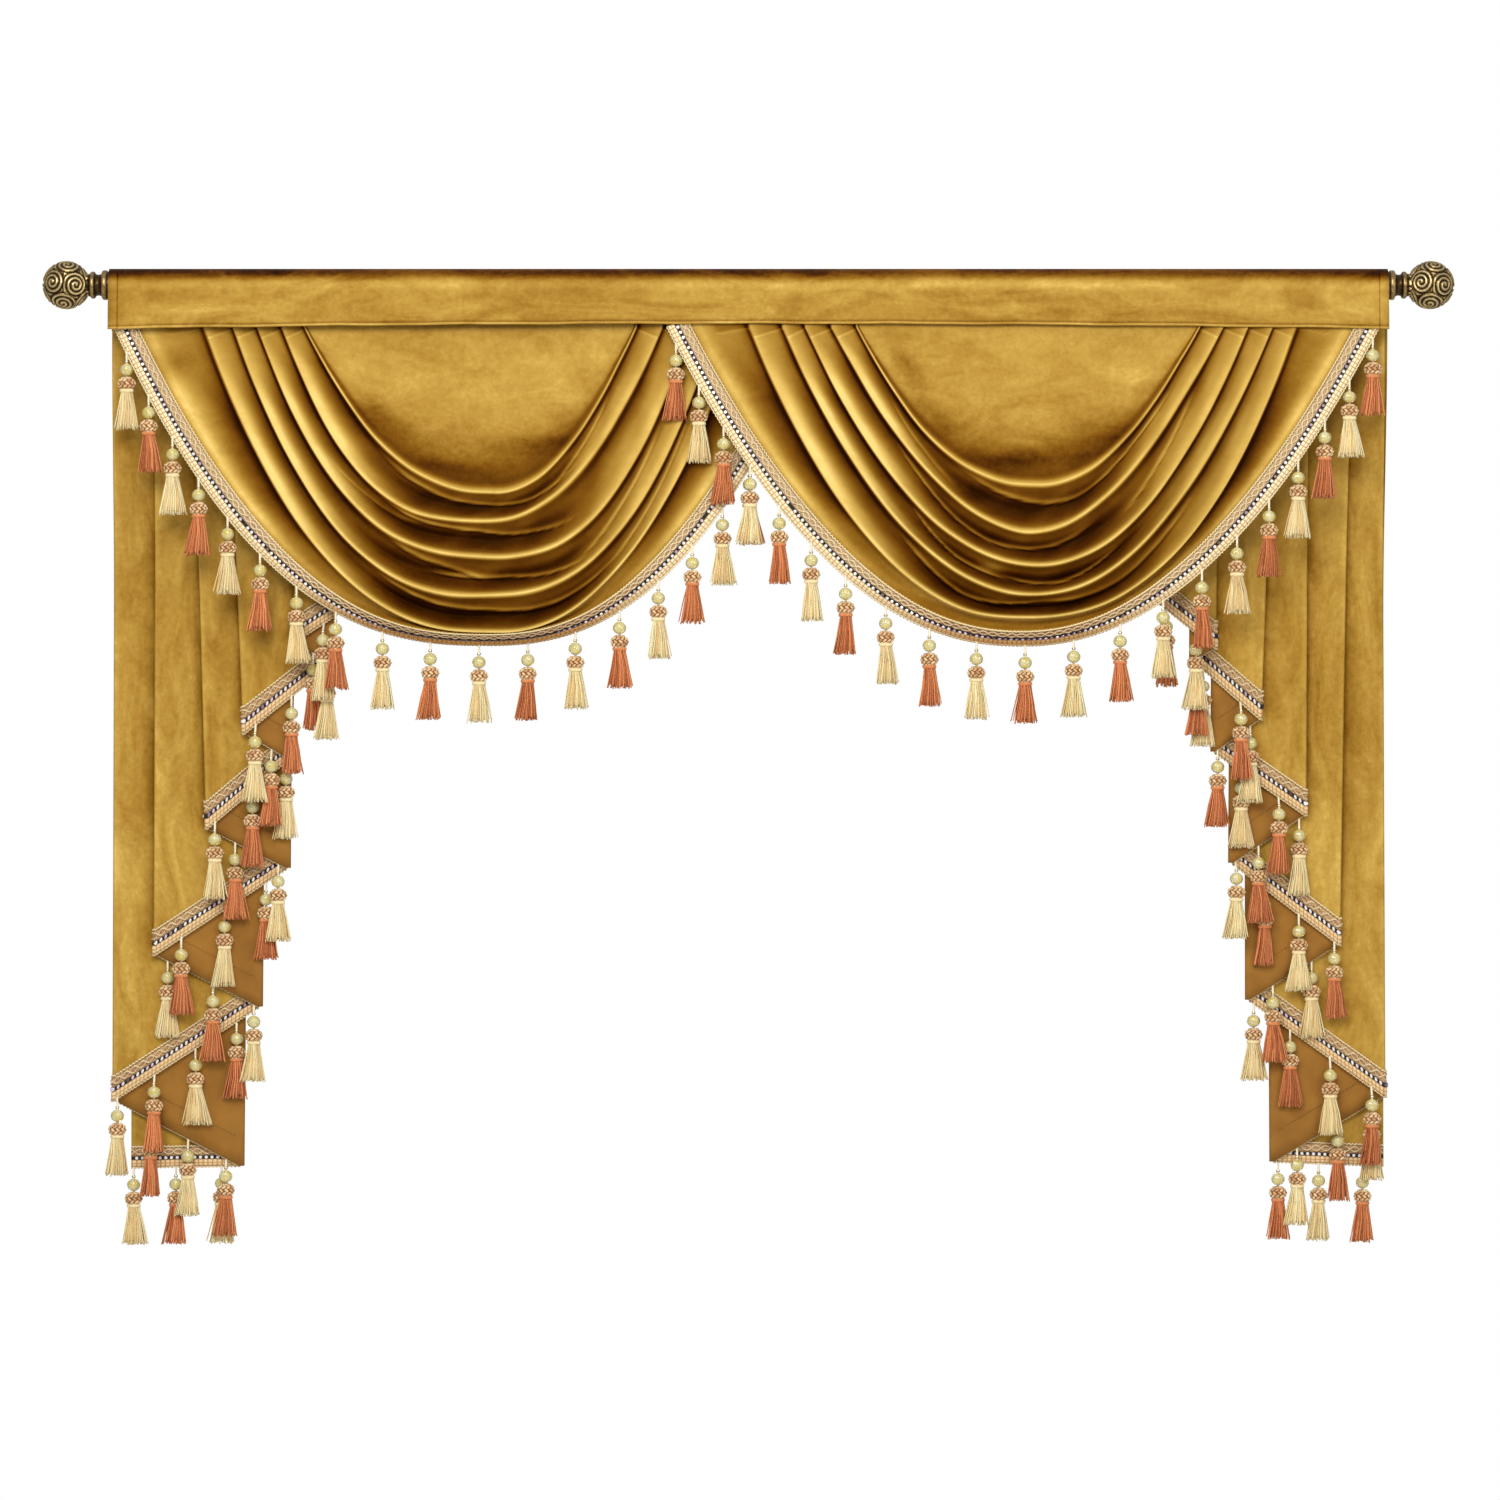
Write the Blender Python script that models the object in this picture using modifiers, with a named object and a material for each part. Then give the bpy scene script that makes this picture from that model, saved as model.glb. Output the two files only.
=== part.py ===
# A window valance of gold velvet: two overlapping swags between two folded tails, all
# sewn under one header sleeve that slides on a curtain pole. Beaded tassel trim runs
# along every hem. Metres, +Z up, the room is on the -Y side.
# The origin is the pole's axis at mid-length.

import math
from collections import namedtuple

import bmesh
import bpy
from mathutils import Vector

MM = 0.001

# Driving dimensions
AIR = 0.3 * MM                 # between two pieces that touch
VELVET = 1.2 * MM              # swags and tails
HEADER_VELVET = 1.6 * MM       # header, with its turned-in hems
TRIM_WIDTH = 23 * MM
TRIM_THICK = 1.8 * MM
TRIM_LENGTHS = 5               # a swag's trim is sewn on in so many lengths
TASSEL_PITCH = 57 * MM
LEFT_TASSELS = 18
LEFT_FIRST = 33 * MM           # from the header to a swag's first tassel, along its hem
RIGHT_TASSELS = 21
RIGHT_FIRST = 22 * MM
SKIN = VELVET / 2
UNDER_TRIM = SKIN + 1.5 * AIR  # from the middle of the velvet to the trim
OVER_TRIM = UNDER_TRIM + TRIM_THICK

POLE_RADIUS = 16 * MM
POLE_HALF = 752 * MM
POLE_SIDES = 24

HEADER_HALF = 750 * MM
HEADER_CROWN = 18.3 * MM       # from the pole's axis to the middle of the cloth
HEADER_HEM = -52.5 * MM        # the header's lower edge at its ends
HEADER_LIFT = 6 * MM           # how much higher that edge is at mid-length
HEADER_SEAM = -50 * MM         # where swags and tails come out of the header
HEADER_FRONT = -24 * MM        # y of the front ply at its lower edge
HEADER_BACK = 18.2 * MM        # y of the back ply at its lower edge
TUCK = -37 * MM                # the top edge of swags and tails, inside the header
TUCK_RISE = 2 * MM             # how much higher a swag's flat panel is tucked

COLLECTION = "swag_and_tail_drape"

# A gather line of a swag, in millimetres: where it leaves the header on each side, its
# lowest point, how round each side hangs (2 is a parabola), and how far its fold
# stands out there. The last row of each table is the hem.
Fold = namedtuple("Fold", "left right low drop bow_left bow_right relief")

LEFT_FOLDS = (
    Fold(-520, -132, -295, -246, 2.30, 1.90, 16),
    Fold(-546, -102, -322, -279, 2.60, 2.35, 20),
    Fold(-575, -69, -308, -320, 2.65, 2.80, 24),
    Fold(-603, -39, -319, -365, 2.50, 2.85, 26),
    Fold(-637, -10, -292, -408, 2.65, 2.25, 26),
    Fold(-743, 86, -306, -421, 2.50, 2.40, 24),
)
RIGHT_FOLDS = (
    Fold(127, 528, 339, -238, 2.25, 1.90, 16),
    Fold(98, 555, 326, -293, 1.80, 1.85, 20),
    Fold(67, 584, 331, -330, 2.05, 2.20, 24),
    Fold(41, 613, 333, -364, 2.15, 2.10, 26),
    Fold(2, 640, 318, -391, 2.30, 2.60, 26),
    Fold(-95, 738, 319, -422, 2.20, 2.10, 22),
)

# How a swag sits: the y of its flattened folds at the header, how far its middle
# stands forward of that, over what share of the drop it gets there, the hem's curl
# under itself at the lowest point, and how late each side's folds deepen.
Sit = namedtuple("Sit", "root forward reach curl deepen_left deepen_right")

LEFT_SIT = Sit(-9 * MM, 14 * MM, 1.0, math.radians(62), 0.9, 1.6)
RIGHT_SIT = Sit(-16 * MM, 18 * MM, 0.6, math.radians(50), 0.9, 0.9)

# Depth of the folds between two gather lines: 0 is the upper crest, 1 the next one.
# The cloth drops to a low secondary crest and then into the trough.
Depth = namedtuple("Depth", "at height")
FOLD_DEPTH = (Depth(0.0, 1.0), Depth(0.36, 0.74), Depth(0.62, 0.0), Depth(1.0, 1.0))
# From the flat panel under the header to the first crest.
PANEL_DEPTH = (Depth(-1.0, 0.0), Depth(-0.6, 0.10), Depth(-0.22, 0.18), Depth(0.0, 1.0))
SWAG_COLUMNS = 24

# A leg of a tail, from its inner edge to its outer one and back, in millimetres: the x
# where the leg ends, at the header and at the hem, the height of the hem there, and
# the x of each tassel on it. Legs 1, 3, 5 ... show the pile, the others the back.
Leg = namedtuple("Leg", "top_x hem_x hem_z tassels")

LEFT_TAIL = (
    Leg(-474, -474, -381, ()),
    Leg(-534, -531, -418, (-498,)),
    Leg(-492, -490, -445, (-511, -494)),
    Leg(-612, -592, -526, (-537, -579)),
    Leg(-530, -541, -556, (-561,)),
    Leg(-653, -637, -638, (-544.5, -583.5, -628)),
    Leg(-540, -544, -685, (-605, -554)),
    Leg(-697, -700, -787, (-569, -618, -669)),
    Leg(-572, -578, -849, (-686, -632, -584)),
    Leg(-747, -750, -960, (-605, -653.5, -702, -746)),
    Leg(-592, -601, -1038, (-707, -663, -618)),
    Leg(-730, -731, -1040, (-624, -678, -728)),
)
RIGHT_TAIL = (
    Leg(481, 481, -373, ()),
    Leg(549, 547, -426, (490, 524)),
    Leg(524, 522, -440, (527,)),
    Leg(617, 601, -509, (534, 578)),
    Leg(552, 548, -548, (590, 552)),
    Leg(657, 655, -622, (580, 624)),
    Leg(574, 570, -679, (649, 601, 574)),
    Leg(708, 696, -775, (609, 649, 691)),
    Leg(590, 591, -841, (665, 619)),
    Leg(747, 751, -955, (597, 640, 687, 736)),
    Leg(616, 621, -1033, (737, 697, 649)),
    Leg(752, 752, -1038, (627, 675, 727)),
)
TAIL_FRONT = -6.4 * MM         # y of the first leg
TAIL_PRESSED = 1.9 * MM        # from leg to leg inside the header
TAIL_PLEAT = 3.5 * MM          # from the pile side to the back of one pleat, at the hem
TAIL_ROOM = 8 * MM             # from one pleat's back to the next pleat, at the hem
TAIL_OPENS = 330 * MM          # the fall over which the pressed legs come apart
TAIL_ROWS = (0, 0.08, 0.2, 0.36, 0.66, 1)  # down each leg, closer where the pleats open

# A tassel: its cord, glass bead, neck, knotted head and waist as rings, each a depth
# under the trim with its half width and half thickness in millimetres.
Ring = namedtuple("Ring", "name depth half_width half_thick")
TASSEL_RINGS = (
    Ring("cord", 13, 1.5, 1.4),
    Ring("bead", 21, 7.2, 5.0),
    Ring("neck", 29, 3.2, 3.0),
    Ring("head", 37, 9.0, 5.0),
    Ring("waist", 46, 5.6, 3.6),
)
LOCKS_DROP = 90 * MM
LOCKS_SPREAD = 8 * MM
LOCKS_WIDEN = 1.35
LOCKS_THIN = 0.6
# What a hanging tassel needs: its half width and half thickness over a stretch of it.
Reach = namedtuple("Reach", "top bottom half_width half_thick")
TASSEL_REACH = (
    Reach(13, 29, 7.4, 5.0),
    Reach(29, 46, 9.2, 5.0),
    Reach(46, 68, 9.0, 3.6),
    Reach(68, 92, 13.5, 3.6),
)
ROOT_HALF = 1.3 * MM           # half the width of a tassel's root on the trim

FINIAL_BALL = 27.3 * MM
FINIAL_SIDES = 18
# The turned neck, from the pole's end outwards: distance and radius in millimetres.
Turn = namedtuple("Turn", "out radius")
FINIAL_NECK = (
    Turn(0, 0), Turn(0, 16.4), Turn(1.2, 17.4), Turn(5.6, 17.4), Turn(7, 13.4),
    Turn(10.5, 12.2), Turn(14, 13), Turn(15.4, 15.7), Turn(20, 15.7), Turn(21.6, 12),
)
BALL_OUT = 48.6 * MM           # from the pole's end to the ball's middle
BALL_STEPS = 9

VELVET_GOLD = (0.47, 0.27, 0.05, 1.0)
TRIM_CREAM = (0.72, 0.52, 0.30, 1.0)
BRONZE = (0.20, 0.12, 0.06, 1.0)
POLE_BRONZE = (0.16, 0.10, 0.06, 1.0)


def clear_scene():
    for old in list(bpy.data.objects):
        bpy.data.objects.remove(old, do_unlink=True)


def make_material(name, colour, roughness, metallic=0.0):
    material = bpy.data.materials.new(name)
    material.use_nodes = True
    shader = material.node_tree.nodes["Principled BSDF"]
    shader.inputs["Base Color"].default_value = colour
    shader.inputs["Roughness"].default_value = roughness
    shader.inputs["Metallic"].default_value = metallic
    return material


def add_object(name, bm, material):
    """Puts a bmesh into the drape's collection as one smooth object."""
    mesh = bpy.data.meshes.new(name)
    bm.to_mesh(mesh)
    bm.free()
    mesh.materials.append(material)
    thing = bpy.data.objects.new(name, mesh)
    bpy.data.collections[COLLECTION].objects.link(thing)
    return thing


def add_sheet(name, rows, thickness, material):
    """A cloth through rows of points: one surface, triangulated, then given its thickness."""
    bm = bmesh.new()
    grid = [[bm.verts.new(point) for point in row] for row in rows]
    for upper, lower in zip(grid, grid[1:]):
        for column in range(len(upper) - 1):
            bm.faces.new((upper[column], lower[column], lower[column + 1], upper[column + 1]))
    cloth = add_object(name, bm, material)
    triangulate = cloth.modifiers.new("triangles", "TRIANGULATE")
    triangulate.quad_method = "FIXED"
    solidify = cloth.modifiers.new("thickness", "SOLIDIFY")
    solidify.thickness = thickness
    solidify.offset = 0
    solidify.use_even_offset = True
    return cloth


def smooth(share):
    """Eases a share from 0 to 1."""
    share = min(max(share, 0.0), 1.0)
    return share * share * (3 - 2 * share)


def mix(low, high, share):
    return low + (high - low) * share


# The header: one strip folded over the pole, its plies held apart by what hangs in it

def header_edge(x):
    return HEADER_HEM + HEADER_LIFT * (1 - (x / HEADER_HALF) ** 2)


def build_header(material):
    stations = 9
    crown_steps = 8
    rows = []
    for station in range(stations):
        x = mix(-HEADER_HALF, HEADER_HALF, station / (stations - 1))
        edge = header_edge(x)
        row = [Vector((x, HEADER_FRONT, edge))]
        row.append(Vector((x, mix(-HEADER_CROWN, HEADER_FRONT, 0.5), edge / 2)))
        for step in range(crown_steps + 1):
            angle = math.pi * (1 - step / crown_steps)
            row.append(Vector((x, HEADER_CROWN * math.cos(angle), HEADER_CROWN * math.sin(angle))))
        row.append(Vector((x, mix(HEADER_CROWN, HEADER_BACK, 0.5), edge / 2)))
        row.append(Vector((x, HEADER_BACK, edge)))
        rows.append(row)
    add_sheet("header", rows, HEADER_VELVET, material)


# A swag: gather lines that hang from the header, with a crest on each one

def fold_between(folds, at):
    """The gather line at a place between the table's rows; under 0 is the flat panel."""
    first = folds[0]
    if at < 0:
        inset = 14 * (-at)
        return first._replace(
            left=first.left + inset, right=first.right - inset,
            low=mix(first.low, (first.left + first.right) / 2, -at),
            drop=mix(first.drop, HEADER_SEAM / MM, -at),
        )
    row = min(int(at), len(folds) - 2)
    return Fold(*(mix(one, other, at - row) for one, other in zip(folds[row], folds[row + 1])))


def on_fold(fold, across):
    """x and z on a gather line; across runs from -1 at its left end to 1 at its right end."""
    share = abs(across) * (1.22 - 0.22 * across * across)
    end = fold.left if across < 0 else fold.right
    bow = fold.bow_left if across < 0 else fold.bow_right
    x = mix(fold.low, end, share) * MM
    z = mix(fold.drop * MM, HEADER_SEAM, share ** bow)
    return x, z


def fold_height(at):
    """How far the cloth stands out of its troughs, as a share of the fold's relief."""
    table, place = (PANEL_DEPTH, at) if at < 0 else (FOLD_DEPTH, at - math.floor(at))
    for low, high in zip(table, table[1:]):
        if place <= high.at:
            return mix(low.height, high.height, (place - low.at) / (high.at - low.at))
    return 1.0


def swag_y(folds, sit, fold, height, across, z):
    fall = (HEADER_SEAM - z) / (HEADER_SEAM - folds[-1].drop * MM)
    deepen = sit.deepen_left if across < 0 else sit.deepen_right
    deep = mix(1.2, fold.relief, max(fall, 0.0) ** deepen) * MM
    return sit.root - sit.forward * smooth(fall / sit.reach) - height * deep


def hem_edge(folds, sit, across):
    """Two points on the swag's last strip, under the trim: the hem and the strip's top."""
    hem = folds[-1]
    step = 0.01
    x, z = on_fold(hem, across)
    ahead = Vector(on_fold(hem, min(across + step, 1)))
    behind = Vector(on_fold(hem, max(across - step, -1)))
    along = (ahead - behind).normalized()
    inward = Vector((-along.y, along.x))
    fall = (HEADER_SEAM - z) / (HEADER_SEAM - hem.drop * MM)
    curl = sit.curl * fall ** 3
    top = Vector((x, z)) + inward * TRIM_WIDTH * math.cos(curl)
    y = swag_y(folds, sit, hem, 0.9, across, z)
    return Vector((x, y + TRIM_WIDTH * math.sin(curl), z)), Vector((top.x, y, top.y))


def swag_point(folds, sit, at, across):
    """A point of the swag's cloth, from at = -1 under the header to at = 5 on the trim's top."""
    last = len(folds) - 1
    fold = fold_between(folds, at)
    x, z = on_fold(fold, across)
    if at > last - 1:
        share = at - (last - 1)
        x, z = on_fold(folds[last - 1], across)
        edge, top = hem_edge(folds, sit, across)
        x, z = mix(x, top.x, share), mix(z, top.z, share)
    return Vector((x, swag_y(folds, sit, fold, fold_height(at), across, z), z))


def swag_acrosses(count):
    return [2 * column / count - 1 for column in range(count + 1)]


def build_swag(name, folds, sit, material):
    acrosses = swag_acrosses(SWAG_COLUMNS)
    last = len(folds) - 1
    places = [-0.95, -0.6, -0.22, 0]
    for row in range(last - 1):
        places += [row + depth.at for depth in FOLD_DEPTH[1:]]
    places += [last - 0.55]
    rows = [[swag_point(folds, sit, at, across) for across in acrosses] for at in places]
    hems = [hem_edge(folds, sit, across) for across in acrosses]
    rows.append([top for edge, top in hems])
    rows.append([edge for edge, top in hems])
    # The tuck inside the header: straight up from each line's two ends and from the panel.
    tucked = [[Vector((end.x, sit.root, TUCK)) for end in (row[0], row[-1])] for row in rows]
    rows = [[left, *row, right] for row, (left, right) in zip(rows, tucked)]
    inset = 3 * MM
    left, right = rows[0][0].x + inset, rows[0][-1].x - inset
    shares = [column / (SWAG_COLUMNS + 2) for column in range(SWAG_COLUMNS + 3)]
    rows.insert(0, [Vector((mix(left, right, share), sit.root, TUCK + TUCK_RISE)) for share in shares])
    add_sheet(name, rows, VELVET, material)


# A tail: pleats folded over each other, cut on a slant, so that the hem zigzags down

def leg_y(leg, z):
    """The y of a leg, counted from 0 at the front; the pleats open as they fall."""
    pressed = TAIL_FRONT + leg * TAIL_PRESSED
    opened = TAIL_FRONT + (leg // 2) * (TAIL_PLEAT + TAIL_ROOM) + (leg % 2) * TAIL_PLEAT
    return mix(pressed, opened, smooth((HEADER_SEAM - z) / TAIL_OPENS))


def tail_column(legs, leg, share, fall, turn=None):
    """A point of a tail: on a leg, or, with turn from 0 to 1, on the fold after it."""
    start, end = legs[leg], legs[leg + 1]
    hem = mix(start.hem_z, end.hem_z, share) * MM
    z = mix(TUCK, hem, fall)
    x = mix(mix(start.top_x, end.top_x, share), mix(start.hem_x, end.hem_x, share), fall) * MM
    y = leg_y(leg, z)
    if turn is not None:
        radius = (leg_y(leg + 1, z) - y) / 2
        outward = math.copysign(1, end.hem_x - start.hem_x)
        x += outward * radius * math.sin(math.pi * turn)
        y += radius * (1 - math.cos(math.pi * turn))
    return Vector((x, y, z))


def build_tail(name, legs, material):
    columns = []
    for leg in range(len(legs) - 1):
        for share in (0, 0.5, 1):
            columns.append((leg, share, None))
        if leg < len(legs) - 2:
            columns += [(leg, 1, 1 / 3), (leg, 1, 2 / 3)]
    rows = []
    for row in TAIL_ROWS:
        rows.append([tail_column(legs, leg, share, row, turn) for leg, share, turn in columns])
    add_sheet(name, rows, VELVET, material)


# The trim: a flat braid on the pile side of each hem, and the tassels that hang off it

# A station across a trim, and where tassels root between it and the next one, as shares.
Station = namedtuple("Station", "edge top out roots")


def ribbon(name, stations, tassels, material):
    """A braid through its stations, with a tassel drawn out of its lower edge at each root."""
    bm = bmesh.new()
    rings = []
    for station in stations:
        ring = []
        for point in (station.top, station.edge):
            ring += [bm.verts.new(point + station.out * depth) for depth in (UNDER_TRIM, OVER_TRIM)]
        rings.append(ring)
    roots = []
    for station, following, ring, other in zip(stations, stations[1:], rings, rings[1:]):
        half = ROOT_HALF / (following.edge - station.edge).length
        lower = [ring[2:]]
        for share in station.roots:
            for place in (share - half, share + half):
                lower.append([bm.verts.new(a.co.lerp(b.co, place)) for a, b in zip(ring[2:], other[2:])])
        lower.append(other[2:])
        bm.faces.new((ring[0], ring[1], other[1], other[0]))
        for side in (0, 1):
            bm.faces.new((ring[side], other[side + 2], other[side]))
        for index, (pair, following_pair) in enumerate(zip(lower, lower[1:])):
            for side in (0, 1):
                bm.faces.new((ring[side], pair[side], following_pair[side]))
            under = bm.faces.new((pair[0], pair[1], following_pair[1], following_pair[0]))
            if index % 2 == 1:
                roots.append(under)
    for ring in (rings[0], rings[-1]):
        bm.faces.new((ring[0], ring[1], ring[3], ring[2]))
    bmesh.ops.recalc_face_normals(bm, faces=bm.faces)
    for root, tassel in zip(roots, tassels):
        hang_tassel(bm, root, tassel)
    add_object(name, bm, material)


def corners_of(face):
    """A root's or ring's four corners: left front, right front, right back, left back."""
    by_x = sorted(face.verts, key=lambda corner: corner.co.x)
    left = sorted(by_x[:2], key=lambda corner: corner.co.y)
    right = sorted(by_x[2:], key=lambda corner: corner.co.y)
    return left[0], right[0], right[1], left[1]


def extrude(bm, face):
    return bmesh.ops.extrude_discrete_faces(bm, faces=[face])["faces"][0]


def hang_tassel(bm, root, tassel):
    sides = ((-1, -1), (1, -1), (1, 1), (-1, 1))
    face = root
    for ring in TASSEL_RINGS:
        face = extrude(bm, face)
        for corner, (right, back) in zip(corners_of(face), sides):
            offset = Vector((right * ring.half_width, back * ring.half_thick, -ring.depth)) * MM
            corner.co = tassel + offset
    left_front, right_front, right_back, left_back = corners_of(face)
    front = bm.edges.get((left_front, right_front))
    middle = bmesh.utils.edge_split(front, left_front, 0.5)[1]
    bmesh.utils.face_split(face, middle, left_back)
    whole = next(part for part in middle.link_faces if right_back in part.verts and left_back in part.verts)
    bmesh.utils.face_split(whole, middle, right_back)
    waist = {left_front, right_front, right_back, left_back, middle}
    for lock in [part for part in middle.link_faces if waist.issuperset(part.verts)]:
        drop_lock(extrude(bm, lock), tassel)


def drop_lock(tip, tassel):
    centre = tip.calc_center_median()
    aside = (centre.x - tassel.x) / (2.8 * MM) * LOCKS_SPREAD
    uneven = 1.5 * MM * math.sin(900 * tassel.x + 2.1 * centre.x / MM)
    for corner in tip.verts:
        across = (corner.co.x - centre.x) * LOCKS_WIDEN
        deep = (corner.co.y - centre.y) * LOCKS_THIN
        corner.co = Vector((tassel.x + aside + across, tassel.y + deep, tassel.z - LOCKS_DROP + uneven))


# Where each tassel hangs: straight under its root, moved forward until it is clear of
# the cloth and of the tassels behind it

Root = namedtuple("Root", "strip x y z")


def clearing(root, point):
    """How far in front of a point beside it a tassel has to hang, or None if it passes it."""
    depth = (root.z - point.z) / MM
    aside = abs(point.x - root.x) / MM
    return next(
        (reach.half_thick * MM + 2 * AIR for reach in TASSEL_REACH
         if reach.top <= depth <= reach.bottom and aside < reach.half_width + 1.5), None
    )


def parting(one, other):
    """How far apart in depth two tassels have to hang."""
    needed = 0.0
    for a in TASSEL_REACH:
        for b in TASSEL_REACH:
            top = min(one.z - a.top * MM, other.z - b.top * MM)
            bottom = max(one.z - a.bottom * MM, other.z - b.bottom * MM)
            if bottom < top and abs(one.x - other.x) < (a.half_width + b.half_width + 0.6) * MM:
                needed = max(needed, (a.half_thick + b.half_thick) * MM + AIR)
    return needed


def settle(hanging, strips, cloth):
    """Adds the hanging point of each root, worked out from the back of the drape to the front."""
    roots = [root for strip in strips for root in strip[2]]
    for root in sorted(roots, key=lambda r: -r.y):
        y = root.y
        for point in cloth:
            needed = clearing(root, point)
            if needed and point.y > root.y - 2 * MM:
                y = min(y, point.y - needed)
        for other, place in sorted(hanging.items(), key=lambda item: -item[1].y):
            apart = parting(root, other)
            if apart and place.y - y < apart:
                y = place.y - apart
        hanging[root] = Vector((root.x, y, root.z))


def swag_trims(name, folds, sit, first, tassel_count):
    """Stations and roots of a swag's trim, parted into its lengths at columns of the cloth."""
    hems = [hem_edge(folds, sit, across) for across in swag_acrosses(SWAG_COLUMNS)]
    outs = []
    for column in range(len(hems)):
        before, after = hems[max(column - 1, 0)], hems[min(column + 1, SWAG_COLUMNS)]
        edge, top = hems[column]
        outs.append((after[0] - before[0]).cross(top - edge).normalized())
    strips = []
    run = 0.0
    number = 0
    for part in range(TRIM_LENGTHS):
        strip = f"{name}_{part + 1}"
        start = round(part * SWAG_COLUMNS / TRIM_LENGTHS)
        end = round((part + 1) * SWAG_COLUMNS / TRIM_LENGTHS)
        stations = []
        roots = []
        for column in range(start, end):
            (edge, top), (next_edge, next_top) = hems[column], hems[column + 1]
            span = (next_edge - edge).length
            shares = []
            while number < tassel_count and first + number * TASSEL_PITCH < run + span:
                inset = 1.5 * ROOT_HALF / span
                share = min(max((first + number * TASSEL_PITCH - run) / span, inset), 1 - inset)
                out = outs[column].lerp(outs[column + 1], share).normalized()
                hang = edge.lerp(next_edge, share) + out * (OVER_TRIM - TRIM_THICK / 2)
                shares.append(share)
                roots.append(Root(strip, hang.x, hang.y, hang.z))
                number += 1
            stations.append(Station(edge, top, outs[column], shares))
            run += span
        stations.append(Station(*hems[end], outs[end], ()))
        # The ends that meet another length stand half a gap back from it.
        for index, inner in ((0, 1), (-1, -2)):
            kept, towards = stations[index], stations[inner]
            back = AIR / 2 / (towards.edge - kept.edge).length
            stations[index] = kept._replace(
                edge=kept.edge.lerp(towards.edge, back), top=kept.top.lerp(towards.top, back)
            )
        strips.append((strip, stations, roots))
    return strips


def tail_station(legs, leg, share, turn, rise, out, roots):
    edge = tail_column(legs, leg, share, 1, turn)
    top = tail_column(legs, leg, share, 1 - rise / (TUCK - edge.z), turn)
    return Station(edge, top, out, roots)


def tail_trims(name, legs):
    """One strip for each pleat: along its pile side, round its outer fold and along its back."""
    strips = []
    for pleat in range(0, len(legs) - 1, 2):
        strip = f"{name}_{pleat // 2 + 1}"
        stations = []
        roots = []
        for leg in range(pleat, min(pleat + 2, len(legs) - 1)):
            start, end = legs[leg], legs[leg + 1]
            span = abs(end.hem_x - start.hem_x)
            slope = (end.hem_z - start.hem_z) / span
            rise = TRIM_WIDTH * math.sqrt(1 + slope * slope)
            facing = -1 if leg == pleat else 1
            inset = 2 * ROOT_HALF / MM / span
            shares = [(x - start.hem_x) / (end.hem_x - start.hem_x) for x in end.tassels]
            shares = sorted(min(max(share, inset), 1 - inset) for share in shares)
            out = Vector((0, facing, 0))
            stations.append(tail_station(legs, leg, 0, None, rise, out, shares))
            stations.append(tail_station(legs, leg, 1, None, rise, out, ()))
            for share in shares:
                hang = tail_column(legs, leg, share, 1)
                roots.append(Root(strip, hang.x, hang.y + facing * (OVER_TRIM - TRIM_THICK / 2), hang.z))
            if leg == pleat and leg < len(legs) - 2:
                side = math.copysign(1, end.hem_x - start.hem_x)
                for turn in (1 / 3, 2 / 3):
                    angle = math.pi * turn
                    out = Vector((side * math.sin(angle), -math.cos(angle), 0))
                    stations.append(tail_station(legs, leg, 1, turn, rise, out, ()))
        strips.append((strip, stations, roots))
    return strips


def swag_cloth():
    """Points all over the swags and their trims, as what a tassel has to clear."""
    points = []
    for folds, sit in ((LEFT_FOLDS, LEFT_SIT), (RIGHT_FOLDS, RIGHT_SIT)):
        for across in swag_acrosses(90):
            for row in range(60):
                point = swag_point(folds, sit, -1 + 6 * row / 60, across)
                points.append(point - Vector((0, SKIN, 0)))
            edge, top = hem_edge(folds, sit, across)
            for share in (0.05, 0.5, 1):
                points.append(edge.lerp(top, share) - Vector((0, OVER_TRIM, 0)))
    return points


def tail_cloth():
    """The same for the tails."""
    points = []
    for legs in (LEFT_TAIL, RIGHT_TAIL):
        for leg in range(len(legs) - 1):
            span = abs(legs[leg + 1].hem_x - legs[leg].hem_x)
            steps = max(int(span / 5), 2)
            for step in range(steps + 1):
                hem = tail_column(legs, leg, step / steps, 1)
                for row in range(60):
                    point = tail_column(legs, leg, step / steps, row / 59)
                    on_trim = leg % 2 == 0 and point.z < hem.z + 1.2 * TRIM_WIDTH
                    points.append(point - Vector((0, OVER_TRIM if on_trim else SKIN, 0)))
    return points


def build_trims(material):
    on_tails = tail_trims("left_tail_trim", LEFT_TAIL) + tail_trims("right_tail_trim", RIGHT_TAIL)
    on_swags = swag_trims("left_swag_trim", LEFT_FOLDS, LEFT_SIT, LEFT_FIRST, LEFT_TASSELS)
    on_swags += swag_trims("right_swag_trim", RIGHT_FOLDS, RIGHT_SIT, RIGHT_FIRST, RIGHT_TASSELS)
    hanging = {}
    settle(hanging, on_tails, tail_cloth())
    settle(hanging, on_swags, tail_cloth() + swag_cloth())
    for name, stations, strip_roots in on_swags + on_tails:
        ribbon(name, stations, [hanging[root] for root in strip_roots], material)


# The pole and its turned finials

def build_pole(material):
    bm = bmesh.new()
    bmesh.ops.create_cone(
        bm, cap_ends=True, segments=POLE_SIDES,
        radius1=POLE_RADIUS, radius2=POLE_RADIUS, depth=2 * POLE_HALF,
    )
    pole = add_object("pole", bm, material)
    pole.rotation_euler.y = math.pi / 2
    pole.data.shade_smooth()
    pole.data.set_sharp_from_angle(angle=math.radians(40))


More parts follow.
